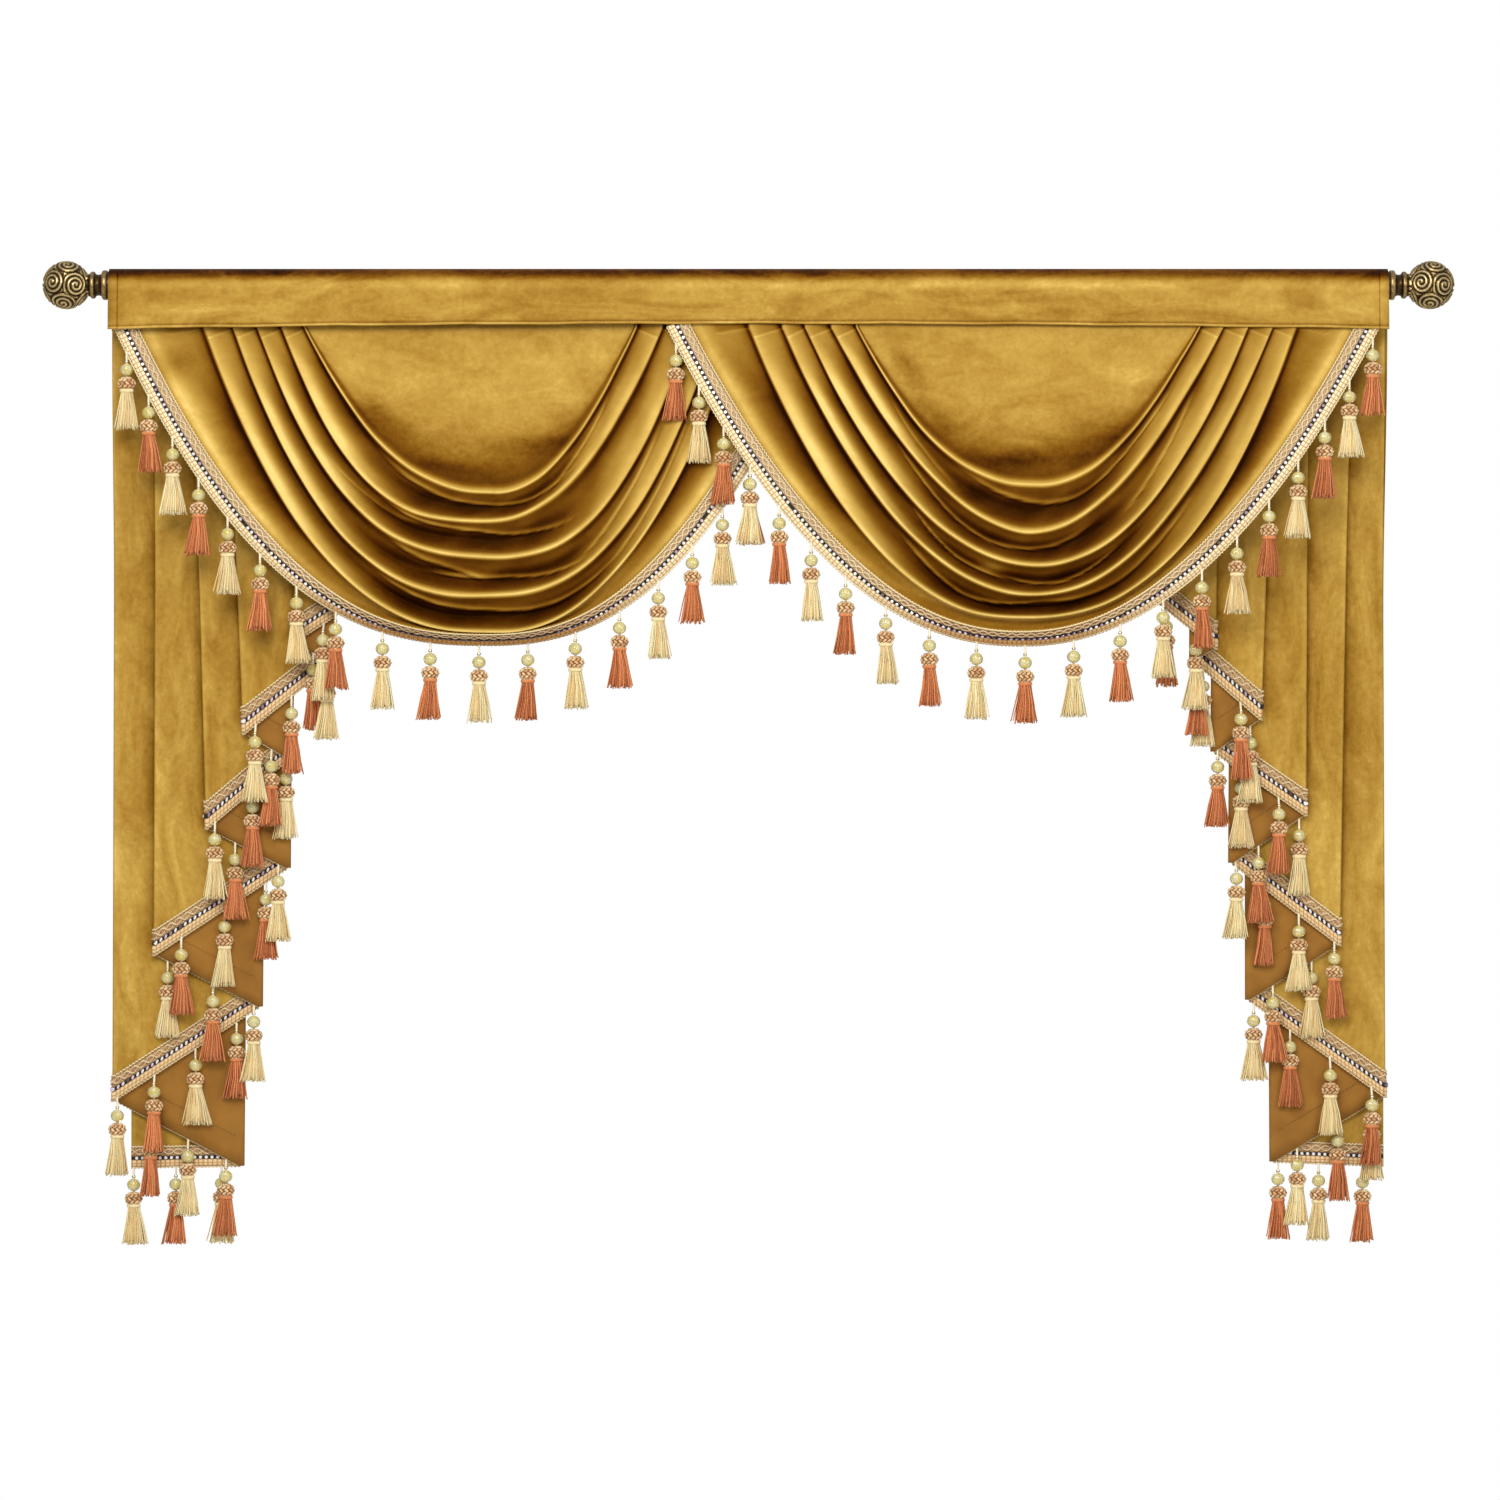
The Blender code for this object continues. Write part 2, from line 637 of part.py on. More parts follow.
def build_finials(material):
    """One turned profile, from the ball's far end down to the neck's face on the pole."""
    profile = []
    neck_end = FINIAL_NECK[-1]
    start = math.asin(neck_end.radius * MM / FINIAL_BALL)
    for step in range(BALL_STEPS):
        angle = mix(0, math.pi - start, step / BALL_STEPS)
        profile.append((FINIAL_BALL * math.sin(angle), BALL_OUT + FINIAL_BALL * math.cos(angle)))
    profile += [(turn.radius * MM, turn.out * MM) for turn in reversed(FINIAL_NECK)]
    mesh = bpy.data.meshes.new("finial")
    mesh.from_pydata([(x, 0, z) for x, z in profile], [(i, i + 1) for i in range(len(profile) - 1)], [])
    mesh.materials.append(material)
    for name, side in (("finial_left", -1), ("finial_right", 1)):
        finial = bpy.data.objects.new(name, mesh)
        bpy.data.collections[COLLECTION].objects.link(finial)
        finial.location.x = side * (POLE_HALF + AIR)
        finial.rotation_euler.y = side * math.pi / 2
        screw = finial.modifiers.new("turned", "SCREW")
        screw.steps = FINIAL_SIDES
        screw.render_steps = FINIAL_SIDES
        screw.use_merge_vertices = True
        screw.merge_threshold = 0.00001


def main():
    clear_scene()
    collection = bpy.data.collections.new(COLLECTION)
    bpy.context.scene.collection.children.link(collection)
    velvet = make_material("gold velvet", VELVET_GOLD, 0.75)
    header_velvet = make_material("header velvet", VELVET_GOLD, 0.75)
    trim = make_material("beaded trim", TRIM_CREAM, 0.6)
    bronze = make_material("antique bronze", BRONZE, 0.4, 0.8)
    pole_bronze = make_material("bronze pole", POLE_BRONZE, 0.4, 0.8)
    build_pole(pole_bronze)
    build_finials(bronze)
    build_header(header_velvet)
    build_swag("left_swag", LEFT_FOLDS, LEFT_SIT, velvet)
    build_swag("right_swag", RIGHT_FOLDS, RIGHT_SIT, velvet)
    build_tail("left_tail", LEFT_TAIL, velvet)
    build_tail("right_tail", RIGHT_TAIL, velvet)
    build_trims(trim)


main()
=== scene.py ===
import math
from collections import namedtuple

import bmesh
import bpy
import numpy as np
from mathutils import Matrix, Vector


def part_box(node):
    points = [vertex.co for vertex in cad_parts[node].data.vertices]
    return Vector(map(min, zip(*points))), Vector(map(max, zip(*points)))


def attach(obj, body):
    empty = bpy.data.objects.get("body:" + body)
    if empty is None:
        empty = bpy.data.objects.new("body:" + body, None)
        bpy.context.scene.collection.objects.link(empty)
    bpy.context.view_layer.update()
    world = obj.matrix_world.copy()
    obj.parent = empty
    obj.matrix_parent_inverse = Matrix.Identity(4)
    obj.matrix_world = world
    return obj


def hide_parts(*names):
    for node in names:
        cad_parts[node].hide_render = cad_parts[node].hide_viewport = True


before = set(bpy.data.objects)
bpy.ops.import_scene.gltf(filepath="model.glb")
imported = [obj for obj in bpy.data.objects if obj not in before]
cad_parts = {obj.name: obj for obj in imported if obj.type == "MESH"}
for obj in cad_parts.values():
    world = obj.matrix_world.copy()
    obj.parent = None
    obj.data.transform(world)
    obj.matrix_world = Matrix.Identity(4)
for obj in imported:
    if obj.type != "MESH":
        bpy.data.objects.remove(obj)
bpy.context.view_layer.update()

# ---------------------------------------------------------------------------------------
# The pole: a drawn steel tube, 32 mm across, stove-enamelled in dark bronze. It runs
# through the header's sleeve, and its ends close against the finials.


def linear(hex_colour):
    """An sRGB colour such as #C08040, as the linear colour that a shader takes."""
    channels = [int(hex_colour[i:i + 2], 16) / 255 for i in (1, 3, 5)]
    return (*[c / 12.92 if c <= 0.04045 else ((c + 0.055) / 1.055) ** 2.4 for c in channels], 1.0)


def set_inputs(node, inputs):
    """Sets a node's inputs; each is a value or another node's output."""
    for socket, value in inputs.items():
        if isinstance(value, bpy.types.NodeSocket):
            node.id_data.links.new(value, node.inputs[socket])
        else:
            node.inputs[socket].default_value = value


def add_node(material, kind, inputs=None, stops=(), out=0, **settings):
    """Adds a shader node with its settings and links, and returns one of its outputs."""
    node = material.node_tree.nodes.new("ShaderNode" + kind)
    for name, value in settings.items():
        setattr(node, name, value)
    for place, (at, hex_colour) in enumerate(stops):
        elements = node.color_ramp.elements
        stop = elements[place] if place < 2 else elements.new(at)
        stop.position = at
        stop.color = linear(hex_colour)
    set_inputs(node, inputs or {})
    return node.outputs[out]


def start_material(name, inputs):
    """A new material and its main shader, with the shader's own constants set."""
    material = bpy.data.materials.new(name)
    material.use_nodes = True
    surface = material.node_tree.nodes["Principled BSDF"]
    set_inputs(surface, inputs)
    return material, surface


# Stove enamel over steel: a dark, slightly uneven brown film with a soft gloss, rubbed
# lighter in streaks 4 mm wide along the length, where the sleeve slides over it.
enamel, film = start_material("bronze_enamelled_steel", {"Metallic": 0.55, "Roughness": 0.38})
where = add_node(enamel, "TexCoord", out="Object")
drawn = add_node(enamel, "Mapping", {"Vector": where, "Scale": (6, 260, 260)})
rubs = add_node(enamel, "TexNoise", {"Vector": drawn, "Scale": 1.0, "Detail": 4.0})
set_inputs(film, {
    "Base Color": add_node(enamel, "ValToRGB", {"Fac": rubs}, [(0.3, "#2E211A"), (0.75, "#5A4330")]),
    "Roughness": add_node(enamel, "MapRange", {"Value": rubs, "To Min": 0.3, "To Max": 0.5}),
})
pole_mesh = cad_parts["pole"].data
pole_mesh.materials.clear()
pole_mesh.materials.append(enamel)

# ---------------------------------------------------------------------------------------
# The finials: cast brass, turned at the neck, with raised scrolls all over the ball. They
# are patinated nearly black and then rubbed back, so that the high places show brass.

MM = 0.001
FINIAL_BALL = 27.3 * MM
BALL_OUT = 48.6 * MM           # from the pole's end to the ball's middle
BALL_NECK = 12.6 * MM          # the neck's radius where the ball starts
SCROLL_RISE = 2.0 * MM
SCROLL_FOOT = 1.1 * MM         # how far inside the ball's size the scrolls start
SCROLL_PITCH = 5.4 * MM        # from ridge to ridge
SCROLL_BOSS = 2.2 * MM         # the radius of the boss at a scroll's middle
SCROLL_EDGE = 2.4 * MM         # over how far a scroll dies away where it meets the next
GAP = 0.3 * MM                 # between two pieces that touch

# The turned neck, from the pole's end outwards: distance and radius in millimetres.
FINIAL_NECK = (
    (0, 15.9), (0.5, 16.8), (1.4, 17.3), (3.4, 17.5), (5.4, 17.2), (6.3, 16.2), (6.9, 14.2), (8, 12.9),
    (10.5, 12.2), (13, 12.5), (14.2, 13.4), (15, 15.0), (16, 15.8), (17.6, 16), (19.2, 15.6),
    (20.2, 14.6), (21.0, 13.4),
)

# The scrolls' middles: the twelve corners of an icosahedron, tilted a little.
GOLDEN = (1 + math.sqrt(5)) / 2
TILT = math.radians(7)
SCROLL_MIDDLES = []
for one in (-1, 1):
    for other in (-GOLDEN, GOLDEN):
        for x, y, z in ((0, one, other), (one, other, 0), (other, 0, one)):
            turned_x = x * math.cos(TILT) + z * math.sin(TILT)
            turned_z = z * math.cos(TILT) - x * math.sin(TILT)
            SCROLL_MIDDLES.append((turned_x, y, turned_z))
SCROLL_MIDDLES = np.array(SCROLL_MIDDLES) / math.hypot(1, GOLDEN)

ALONG_X, TO_WALL, UP = np.eye(3)
Shape = namedtuple("Shape", "points faces slot flat marks")


def loft(rings, slot=0, flat=False, marks=(0.0, 0.0, 0.0)):
    """Closed tubes through rings of points, given as (tubes, rings, sides, 3)."""
    rings = np.asarray(rings, dtype=float)
    if rings.ndim == 3:
        rings = rings[None]
    tubes, count, sides, _ = rings.shape
    index = np.arange(tubes * count * sides).reshape(tubes, count, sides)
    here, ahead = index[:, :-1], index[:, 1:]
    quads = np.stack([here, np.roll(here, -1, 2), np.roll(ahead, -1, 2), ahead], -1)
    faces = quads.reshape(-1, 4).tolist() + index[:, 0, ::-1].tolist() + index[:, -1].tolist()
    marks = np.broadcast_to(np.asarray(marks, dtype=float), rings.shape)
    return Shape(rings.reshape(-1, 3), faces, slot, flat, marks.reshape(-1, 3))


def put_up(name, mesh, materials):
    """An object of a finished mesh, riding on the frame."""
    for material in materials:
        mesh.materials.append(material)
    piece = bpy.data.objects.new(name, mesh)
    bpy.context.scene.collection.objects.link(piece)
    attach(piece, "root")
    return piece


def make_piece(name, shapes, materials):
    """One object of all the shapes; "mark" is what its materials read."""
    faces, slots, flats = [], [], []
    start = 0
    for shape in shapes:
        faces += [[start + corner for corner in face] for face in shape.faces]
        slots += [shape.slot] * len(shape.faces)
        flats += [shape.flat] * len(shape.faces)
        start += len(shape.points)
    mesh = bpy.data.meshes.new(name)
    mesh.from_pydata(np.concatenate([shape.points for shape in shapes]).tolist(), [], faces)
    mesh.polygons.foreach_set("material_index", slots)
    mesh.polygons.foreach_set("use_smooth", [not flat for flat in flats])
    attribute = mesh.attributes.new("mark", "FLOAT_VECTOR", "POINT")
    attribute.data.foreach_set("vector", np.concatenate([shape.marks for shape in shapes]).ravel())
    bm = bmesh.new()
    bm.from_mesh(mesh)
    bmesh.ops.recalc_face_normals(bm, faces=bm.faces)
    bm.to_mesh(mesh)
    bm.free()
    return put_up(name, mesh, materials)


def scroll_relief(directions):
    """How far the scrolls rise at each direction from the ball's middle, from 0 to 1: a
    ridge winds out from each scroll's middle until it meets its neighbours'."""
    away = np.arccos(np.clip(directions @ SCROLL_MIDDLES.T, -1, 1)) * FINIAL_BALL
    nearest = away.argmin(-1)
    first, second = np.sort(away, axis=-1)[..., :2].T
    middle = SCROLL_MIDDLES[nearest]
    east = np.cross(ALONG_X, middle)
    east /= np.linalg.norm(east, axis=-1)[..., None]
    north = np.cross(middle, east)
    angle = np.arctan2((directions * north).sum(-1), (directions * east).sum(-1))
    hand = np.where(nearest % 2, 1, -1)
    wave = np.cos(2 * math.pi * first / SCROLL_PITCH - hand * angle)
    ridge = np.clip((wave + 0.75) / 1.3, 0, 1) ** 0.8
    ridge = np.maximum(ridge, 1 - first / SCROLL_BOSS)
    return ridge * np.clip((second - first) / SCROLL_EDGE + 0.25, 0, 1)


# Patinated cast brass: near-black brown in the hollows, warm worn metal on what stands
# out. Its cast grain, 2.4 mm and finer, breaks up the gloss.
brass, metal = start_material("patinated_cast_brass", {"Metallic": 0.9, "Roughness": 0.36})
where = add_node(brass, "TexCoord", out="Object")
raised = add_node(brass, "Attribute", out="Vector", attribute_name="mark")
raised = add_node(brass, "SeparateXYZ", {"Vector": raised}, out="X")
grain = add_node(brass, "TexNoise", {"Vector": where, "Scale": 420.0, "Detail": 4.0})
worn = add_node(brass, "MapRange", {"Value": grain, "To Min": -0.22, "To Max": 0.22})
worn = add_node(brass, "Math", {0: raised, 1: worn}, operation="ADD")
PATINA = [(0.1, "#140D06"), (0.35, "#4E3A20"), (0.62, "#907444"), (0.95, "#E6D09A")]
set_inputs(metal, {
    "Base Color": add_node(brass, "ValToRGB", {"Fac": worn}, PATINA),
    "Normal": add_node(brass, "Bump", {"Height": grain, "Strength": 0.25, "Distance": 0.0004}),
})

pole_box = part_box("pole")
circle = np.array([(0, math.cos(turn), math.sin(turn)) for turn in np.linspace(0, 2 * math.pi, 121)[:-1]])
for side, node in ((-1, "finial_left"), (1, "finial_right")):
    foot = (pole_box[0].x - GAP) if side < 0 else (pole_box[1].x + GAP)
    rings, marks = [], []
    for out, radius in FINIAL_NECK:
        rings.append((foot + side * out * MM) * ALONG_X + radius * MM * circle)
        # the neck's beads are worn bright, and its coves are dark
        marks.append(np.full((len(circle), 3), 0.66 if radius > 15 else 0.3))
    for angle in np.linspace(math.pi - math.asin(BALL_NECK / FINIAL_BALL), 0.03, 60):
        directions = side * math.cos(angle) * ALONG_X + math.sin(angle) * circle
        rise = scroll_relief(directions)
        radius = FINIAL_BALL - SCROLL_FOOT + SCROLL_RISE * rise
        rings.append(directions * radius[:, None] + (foot + side * BALL_OUT) * ALONG_X)
        marks.append(np.stack([0.12 + 0.8 * rise, rise, rise], -1))
    finial = make_piece(node + "_casting", [loft(rings, marks=np.array(marks)[None])], [brass])
    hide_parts(node)

# ---------------------------------------------------------------------------------------
# The header: one strip of the gold velvet folded over the pole. Its lower edge is rolled
# and top-stitched where it closes on the swags and tails, and each end has a side hem.

HEADER_HALF = 750 * MM
HEADER_VELVET = 1.6 * MM
HEADER_CROWN = 18.3 * MM       # from the pole's axis to the middle of the cloth
HEADER_HEM = -52.5 * MM        # the header's lower edge at its ends
HEADER_LIFT = 6 * MM           # how much higher that edge is at mid-length
HEADER_FRONT = -21.7 * MM      # y of the front ply at its lower edge
HEADER_BACK = 18.2 * MM        # y of the back ply at its lower edge
SIDE_HEM = 11 * MM             # from the header's end to its side hem's stitching


def smooth(share):
    """Eases a share from 0 to 1."""
    share = np.clip(share, 0.0, 1.0)
    return share * share * (3 - 2 * share)


def mix(low, high, share):
    """The value at a share of the way from low to high."""
    return low + (high - low) * share


def waves(place, seed):
    """A slow uneven wander between about -1 and 1 along a line."""
    return sum(
        math.sin(1.7 * seed + turn) * np.sin(place * rate + 2.3 * seed * turn) / turn
        for turn, rate in ((1, 1.0), (2, 2.3), (3, 4.1))
    ) / 1.4


def make_sheet(name, points, lie, rubbed, thickness, materials):
    """A cloth through a grid of points: one surface with its thickness on both sides."""
    rows, columns = points.shape[:2]
    index = np.arange(rows * columns).reshape(rows, columns)
    quads = np.stack([index[:-1, :-1], index[1:, :-1], index[1:, 1:], index[:-1, 1:]], -1)
    mesh = bpy.data.meshes.new(name)
    mesh.from_pydata(points.reshape(-1, 3).tolist(), [], quads.reshape(-1, 4).tolist())
    mesh.shade_smooth()
    for what, values in (("lie", lie), ("rubbed", np.broadcast_to(rubbed, lie.shape))):
        values = np.ascontiguousarray(values).ravel()
        mesh.attributes.new(what, "FLOAT", "POINT").data.foreach_set("value", values)
    cloth = put_up(name, mesh, materials)
    body = cloth.modifiers.new("thickness", "SOLIDIFY")
    body.thickness = thickness
    body.offset = 0
    body.material_offset = len(materials) - 1
    return cloth


def silk_velvet(name, mottle, brushed):
    """Warp-knit polyester velvet: a short dense pile with a silky lustre. Its tone is painted
    with light and shade, from painted shade at 0, down in a fold, to a painted highlight at 1,
    along a crest, and "rubbed" is how much handling shows on it."""
    material, surface = start_material(name, {
        "Roughness": 0.55, "Specular IOR Level": 0.12, "Specular Tint": linear("#E8B850"),
        "Sheen Weight": 0.08, "Sheen Roughness": 0.35, "Sheen Tint": linear("#DDA630")})
    where = add_node(material, "TexCoord", out="Object")
    lie = add_node(material, "Attribute", out="Fac", attribute_name="lie")
    rubbed = add_node(material, "Attribute", out="Fac", attribute_name="rubbed")
    # Brushed patches, 40 to 140 mm across and drawn out the way the cloth is handled.
    drawn = add_node(material, "Mapping", {"Vector": where, "Scale": brushed})
    patches = add_node(material, "TexNoise", {
        "Vector": drawn, "Scale": 1.0, "Detail": 4.0, "Roughness": 0.62, "Distortion": 0.9})
    # Small strokes in the pile, from 7 mm across down to under 1 mm.
    strokes = add_node(material, "TexNoise", {
        "Vector": where, "Scale": 140.0, "Detail": 5.0, "Roughness": 0.72})
    marks = add_node(material, "MapRange", {
        "Value": patches, "From Min": 0.3, "From Max": 0.7, "To Min": -mottle, "To Max": mottle})
    nap = add_node(material, "MapRange", {
        "Value": strokes, "From Min": 0.25, "From Max": 0.75, "To Min": -0.08, "To Max": 0.08})
    marks = add_node(material, "Math", {0: marks, 1: nap}, operation="ADD")
    tone = add_node(material, "Math", {0: marks, 1: rubbed, 2: lie}, operation="MULTIPLY_ADD")
    # The pile itself is far finer than a picture shows, so it is drawn at 1.4 mm.
    pile = add_node(material, "TexNoise", {"Vector": where, "Scale": 700.0, "Detail": 2.0})
    nap = add_node(material, "Bump", {"Height": pile, "Strength": 0.22, "Distance": 0.0005})
    set_inputs(surface, {
        "Base Color": add_node(material, "ValToRGB", {"Fac": tone}, GOLD_PILE_IN_PAINTED_LIGHT),
        "Normal": add_node(material, "Bump", {
            "Height": patches, "Strength": 0.2, "Distance": 0.004, "Normal": nap}),
    })
    return material


# The pile's colours, from painted shade deep in a fold to a painted highlight along a crest.
GOLD_PILE_IN_PAINTED_LIGHT = [(0.0, "#260B00"), (0.12, "#4A2303"), (0.3, "#774A0E"), (0.45, "#91671F"), (0.6, "#AD8335"),
             (0.75, "#C39C48"), (0.88, "#DBB55E"), (1.0, "#F4D27C")]
header_velvet = silk_velvet("gold_velvet_header", 0.17, (7, 20, 22))

# The knitted back of the velvet: matt, browner than the pile, with fine courses across.
# They are 0.5 mm apart, drawn at 1.2 mm.
velvet_back, back_surface = start_material("velvet_knitted_back", {"Roughness": 0.85})
where = add_node(velvet_back, "TexCoord", out="Object")
courses = add_node(velvet_back, "TexWave", {
    "Vector": where, "Scale": 260.0, "Distortion": 1.5, "Detail": 2.0}, out="Fac", bands_direction="Z")
cloudy = add_node(velvet_back, "TexNoise", {"Vector": where, "Scale": 28.0, "Detail": 4.0})
tone = add_node(velvet_back, "Math", {0: courses, 1: 0.12, 2: cloudy}, operation="MULTIPLY_ADD")
set_inputs(back_surface, {
    "Base Color": add_node(velvet_back, "ValToRGB", {"Fac": tone}, [(0.25, "#875612"), (0.85, "#A87424")]),
    "Normal": add_node(velvet_back, "Bump", {"Height": courses, "Strength": 0.2, "Distance": 0.0004}),
})

# The rolled edge and the stitched groove over it: rise and reach in millimetres.
ROLLED_EDGE = (
    (0.0, 0.7), (0.3, 1.3), (0.8, 1.7), (1.3, 1.6), (1.8, 0.9), (2.2, -0.1), (2.7, -0.5), (3.4, 0.0),
    (6.0, 0.5),
)
GROOVE = 6                     # the row of that table where the groove lies deepest


def header_edge(x):
    """The height of the header's lower edge at x."""
    return HEADER_HEM + HEADER_LIFT * (1 - (x / HEADER_HALF) ** 2)


def header_section(x):
    """The strip's path round the pole at x, from its rolled front edge to its back one."""
    edge = header_edge(x) + 0.5 * MM * waves(x * 38, 2)
    swell = 0.9 * MM * waves(x * 16, 5)
    path = []
    for rise, out in ROLLED_EDGE:
        y = mix(HEADER_FRONT, -HEADER_CROWN, smooth(rise * MM / -edge))
        path.append((y - (out - 0.5) * MM, edge + rise * MM))
    for share in np.linspace(0.24, 1.0, 14):
        y = mix(HEADER_FRONT, -HEADER_CROWN, smooth(share))
        path.append((y - swell * math.sin(math.pi * share), edge * (1 - share)))
    for angle in np.linspace(math.pi, 0, 19)[1:]:
        path.append((HEADER_CROWN * math.cos(angle), HEADER_CROWN * math.sin(angle)))
    for share in np.linspace(0, 1, 9)[1:]:
        path.append((mix(HEADER_CROWN, HEADER_BACK, share), edge * share))
    return path


def band(place, lighter, middle, wide):
    """A soft band of painted light across the cloth, this much lighter; one below 0 is painted shade."""
    return lighter * np.exp(-((place - middle) / wide) ** 2)


plain = np.linspace(-HEADER_HALF, HEADER_HALF, 161)
beside_hem = HEADER_HALF - SIDE_HEM + np.array((-1.4, -0.7, 0, 0.7, 1.4)) * MM
stations = np.array(sorted([*plain, *-beside_hem, *beside_hem]))
sections = np.array([header_section(x) for x in stations])
sunk = np.exp(-((np.abs(stations) - (HEADER_HALF - SIDE_HEM)) / (0.8 * MM)) ** 2)
points = np.zeros((*sections.shape[:2], 3))
points[..., 0] = stations[:, None]
points[..., 1:] = sections
front = smooth(-sections[..., 0] / (8 * MM))
points[..., 1] += 0.7 * MM * sunk[:, None] * front
# Painted light and shade: a painted highlight along the rolled edge, painted shade in the groove
# over it, a little painted light level with the pole's axis, and painted shade again over the crown
# and in the side hems' stitching.
over_hem = (sections[..., 1] - sections[:, :1, 1]) / MM
over_axis = sections[..., 1] / MM
lie = 0.63 + band(over_hem, 0.14, 0.9, 0.7) + band(over_hem, -0.34, 2.7, 0.6) + band(over_axis, 0.09, -2, 5)
lie -= 0.5 * smooth((over_axis - 1) / 13)
lie -= 0.3 * sunk[:, None] * front
header = make_sheet("header_velvet", points.transpose(1, 0, 2)[::-1], lie.T[::-1], 1.0, HEADER_VELVET,
                    [header_velvet, velvet_back])
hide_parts("header")

# The top-stitching: a mercerised thread in the groove over the rolled edge. Its stitches
# are 3 mm long, and are drawn twice as thick as they are so that they show.
STITCH_PITCH = 4.2 * MM
STITCH_LONG = 3.0 * MM
STITCH_RADIUS = 0.45 * MM


def ring(sides, east, north):
    """The corners of a circle, or of an ellipse, between two directions."""
    around = np.arange(sides) * 2 * math.pi / sides
    return np.cos(around)[:, None] * east + np.sin(around)[:, None] * north


def stitch_row(path, out):
    """Stitches along a path of points, each dipping into the cloth at both ends."""
    lengths = np.concatenate([[0], np.cumsum(np.linalg.norm(np.diff(path, axis=0), axis=1))])
    starts = np.arange(STITCH_PITCH / 2, lengths[-1] - STITCH_PITCH, STITCH_PITCH)
    run = path[-1] - path[0]
    round_it = ring(4, np.cross(run / np.linalg.norm(run), out), out)
    rings = []
    # along a stitch: the share of its length, and its height and radius in full radii
    for share, height, radius in ((0, -0.3, 0.5), (0.25, 0.5, 1.0), (0.75, 0.5, 1.0), (1, -0.3, 0.5)):
        at = starts + share * STITCH_LONG
        middle = np.stack([np.interp(at, lengths, path[:, axis]) for axis in range(3)], -1)
        rings.append(middle[:, None] + (height * out + radius * round_it)[None] * STITCH_RADIUS)
    return loft(np.stack(rings, 1))


def clouded(name, scale, detail, stops, inputs):
    """A material whose colour drifts between two tones, over about 1/scale of a metre."""
    material, surface = start_material(name, inputs)
    where = add_node(material, "TexCoord", out="Object")
    drift = add_node(material, "TexNoise", {"Vector": where, "Scale": scale, "Detail": detail})
    set_inputs(surface, {"Base Color": add_node(material, "ValToRGB", {"Fac": drift}, stops)})
    return material


# Mercerised cotton thread: brown-gold, with a low lustre and a twist drawn at 1.1 mm.
stitch_thread = clouded(
    "brown_gold_sewing_thread", 900.0, 2.0, [(0.3, "#7A4E14"), (0.7, "#C08C3A")], {"Roughness": 0.5})

groove = []
for x in plain:
    y, z = header_section(x)[GROOVE]
    groove.append((x, y - HEADER_VELVET / 2, z))
make_piece("header_stitches", [stitch_row(np.array(groove), -TO_WALL)], [stitch_thread])

# ---------------------------------------------------------------------------------------
# The swags: each is one cut of velvet, pleated up at both ends under the header, so that
# the folds hang between them in rows. The right swag hangs in front of the left one.

HEADER_SEAM = -50 * MM         # where swags and tails come out of the header
TUCK = -37 * MM                # their top edge, inside the header
TUCK_RISE = 2 * MM
VELVET = 1.2 * MM
TRIM_WIDTH = 23 * MM
SWAG_COLUMNS = 176
SAG = 1.7 * MM                 # how far a gather line strays from an even curve
RIPPLE = 0.8 * MM              # how far the cloth strays from its folds' own depth
PANEL_INSET = 14               # how far inside the first crest's ends the panel starts
PRESSED_FOLD = 3.2             # how far a crest stands out where the header presses it
PRESSED_HEM = 1.2              # the same for the hem
STRIP_HEIGHT = 0.9             # how high the hem stands, as a share of a crest

# A gather line, in millimetres: where it leaves the header on each side, its lowest
# point, how round each side hangs (2 is a parabola) and how far its fold stands out.
Fold = namedtuple("Fold", "left right low drop bow_left bow_right relief")

LEFT_FOLDS = (
    Fold(-520, -132, -295, -246, 2.30, 1.90, 16),
    Fold(-546, -102, -322, -279, 2.60, 2.35, 20),
    Fold(-575, -69, -308, -320, 2.65, 2.80, 24),
    Fold(-603, -39, -319, -365, 2.50, 2.85, 26),
    Fold(-637, -10, -292, -408, 2.65, 2.25, 26),
    Fold(-743, 86, -306, -421, 2.50, 2.40, 24),
)
RIGHT_FOLDS = (
    Fold(127, 528, 339, -238, 2.25, 1.90, 16),
    Fold(98, 555, 326, -293, 1.80, 1.85, 20),
    Fold(67, 584, 331, -330, 2.05, 2.20, 24),
    Fold(41, 613, 333, -364, 2.15, 2.10, 26),
    Fold(2, 640, 318, -391, 2.30, 2.60, 26),
    Fold(-95, 738, 319, -422, 2.20, 2.10, 22),
)

# How a swag sits: the y of its pressed folds at the header, how far its middle stands
# forward of that, over what share of the drop, the hem's curl under itself at the
# lowest point, and how late each side's folds deepen.
Sit = namedtuple("Sit", "root forward reach curl deepen_left deepen_right")
LEFT_SIT = Sit(-9 * MM, 14 * MM, 1.0, math.radians(62), 0.9, 1.6)
RIGHT_SIT = Sit(-16 * MM, 18 * MM, 0.6, math.radians(50), 0.9, 0.9)

# From one crest, 0, down to the next one, 1: how far the cloth stands out of its troughs, at the
# middle of a swag and at its sides, and the painted light and shade on its pile there: painted
# shade in the troughs and a painted highlight along each crest.
MIDDLE_DEPTH = (
    (0, 1), (0.05, 0.9), (0.12, 0.66), (0.2, 0.5), (0.32, 0.36), (0.46, 0.1), (0.54, 0), (0.66, 0.14),
    (0.78, 0.34), (0.88, 0.62), (0.95, 0.9), (1, 1),
)
SIDE_DEPTH = (
    (0, 1), (0.04, 0.9), (0.1, 0.45), (0.16, 0.18), (0.24, 0.1), (0.4, 0.3), (0.58, 0.58), (0.76, 0.85),
    (0.9, 0.97), (1, 1),
)
MIDDLE_PAINTED_LIGHT = (
    (0, 0.98), (0.035, 0.7), (0.07, 0.34), (0.13, 0.24), (0.24, 0.2), (0.34, 0.1), (0.46, 0.0),
    (0.56, 0.02), (0.7, 0.1), (0.82, 0.2), (0.89, 0.36), (0.95, 0.74), (1, 0.98),
)
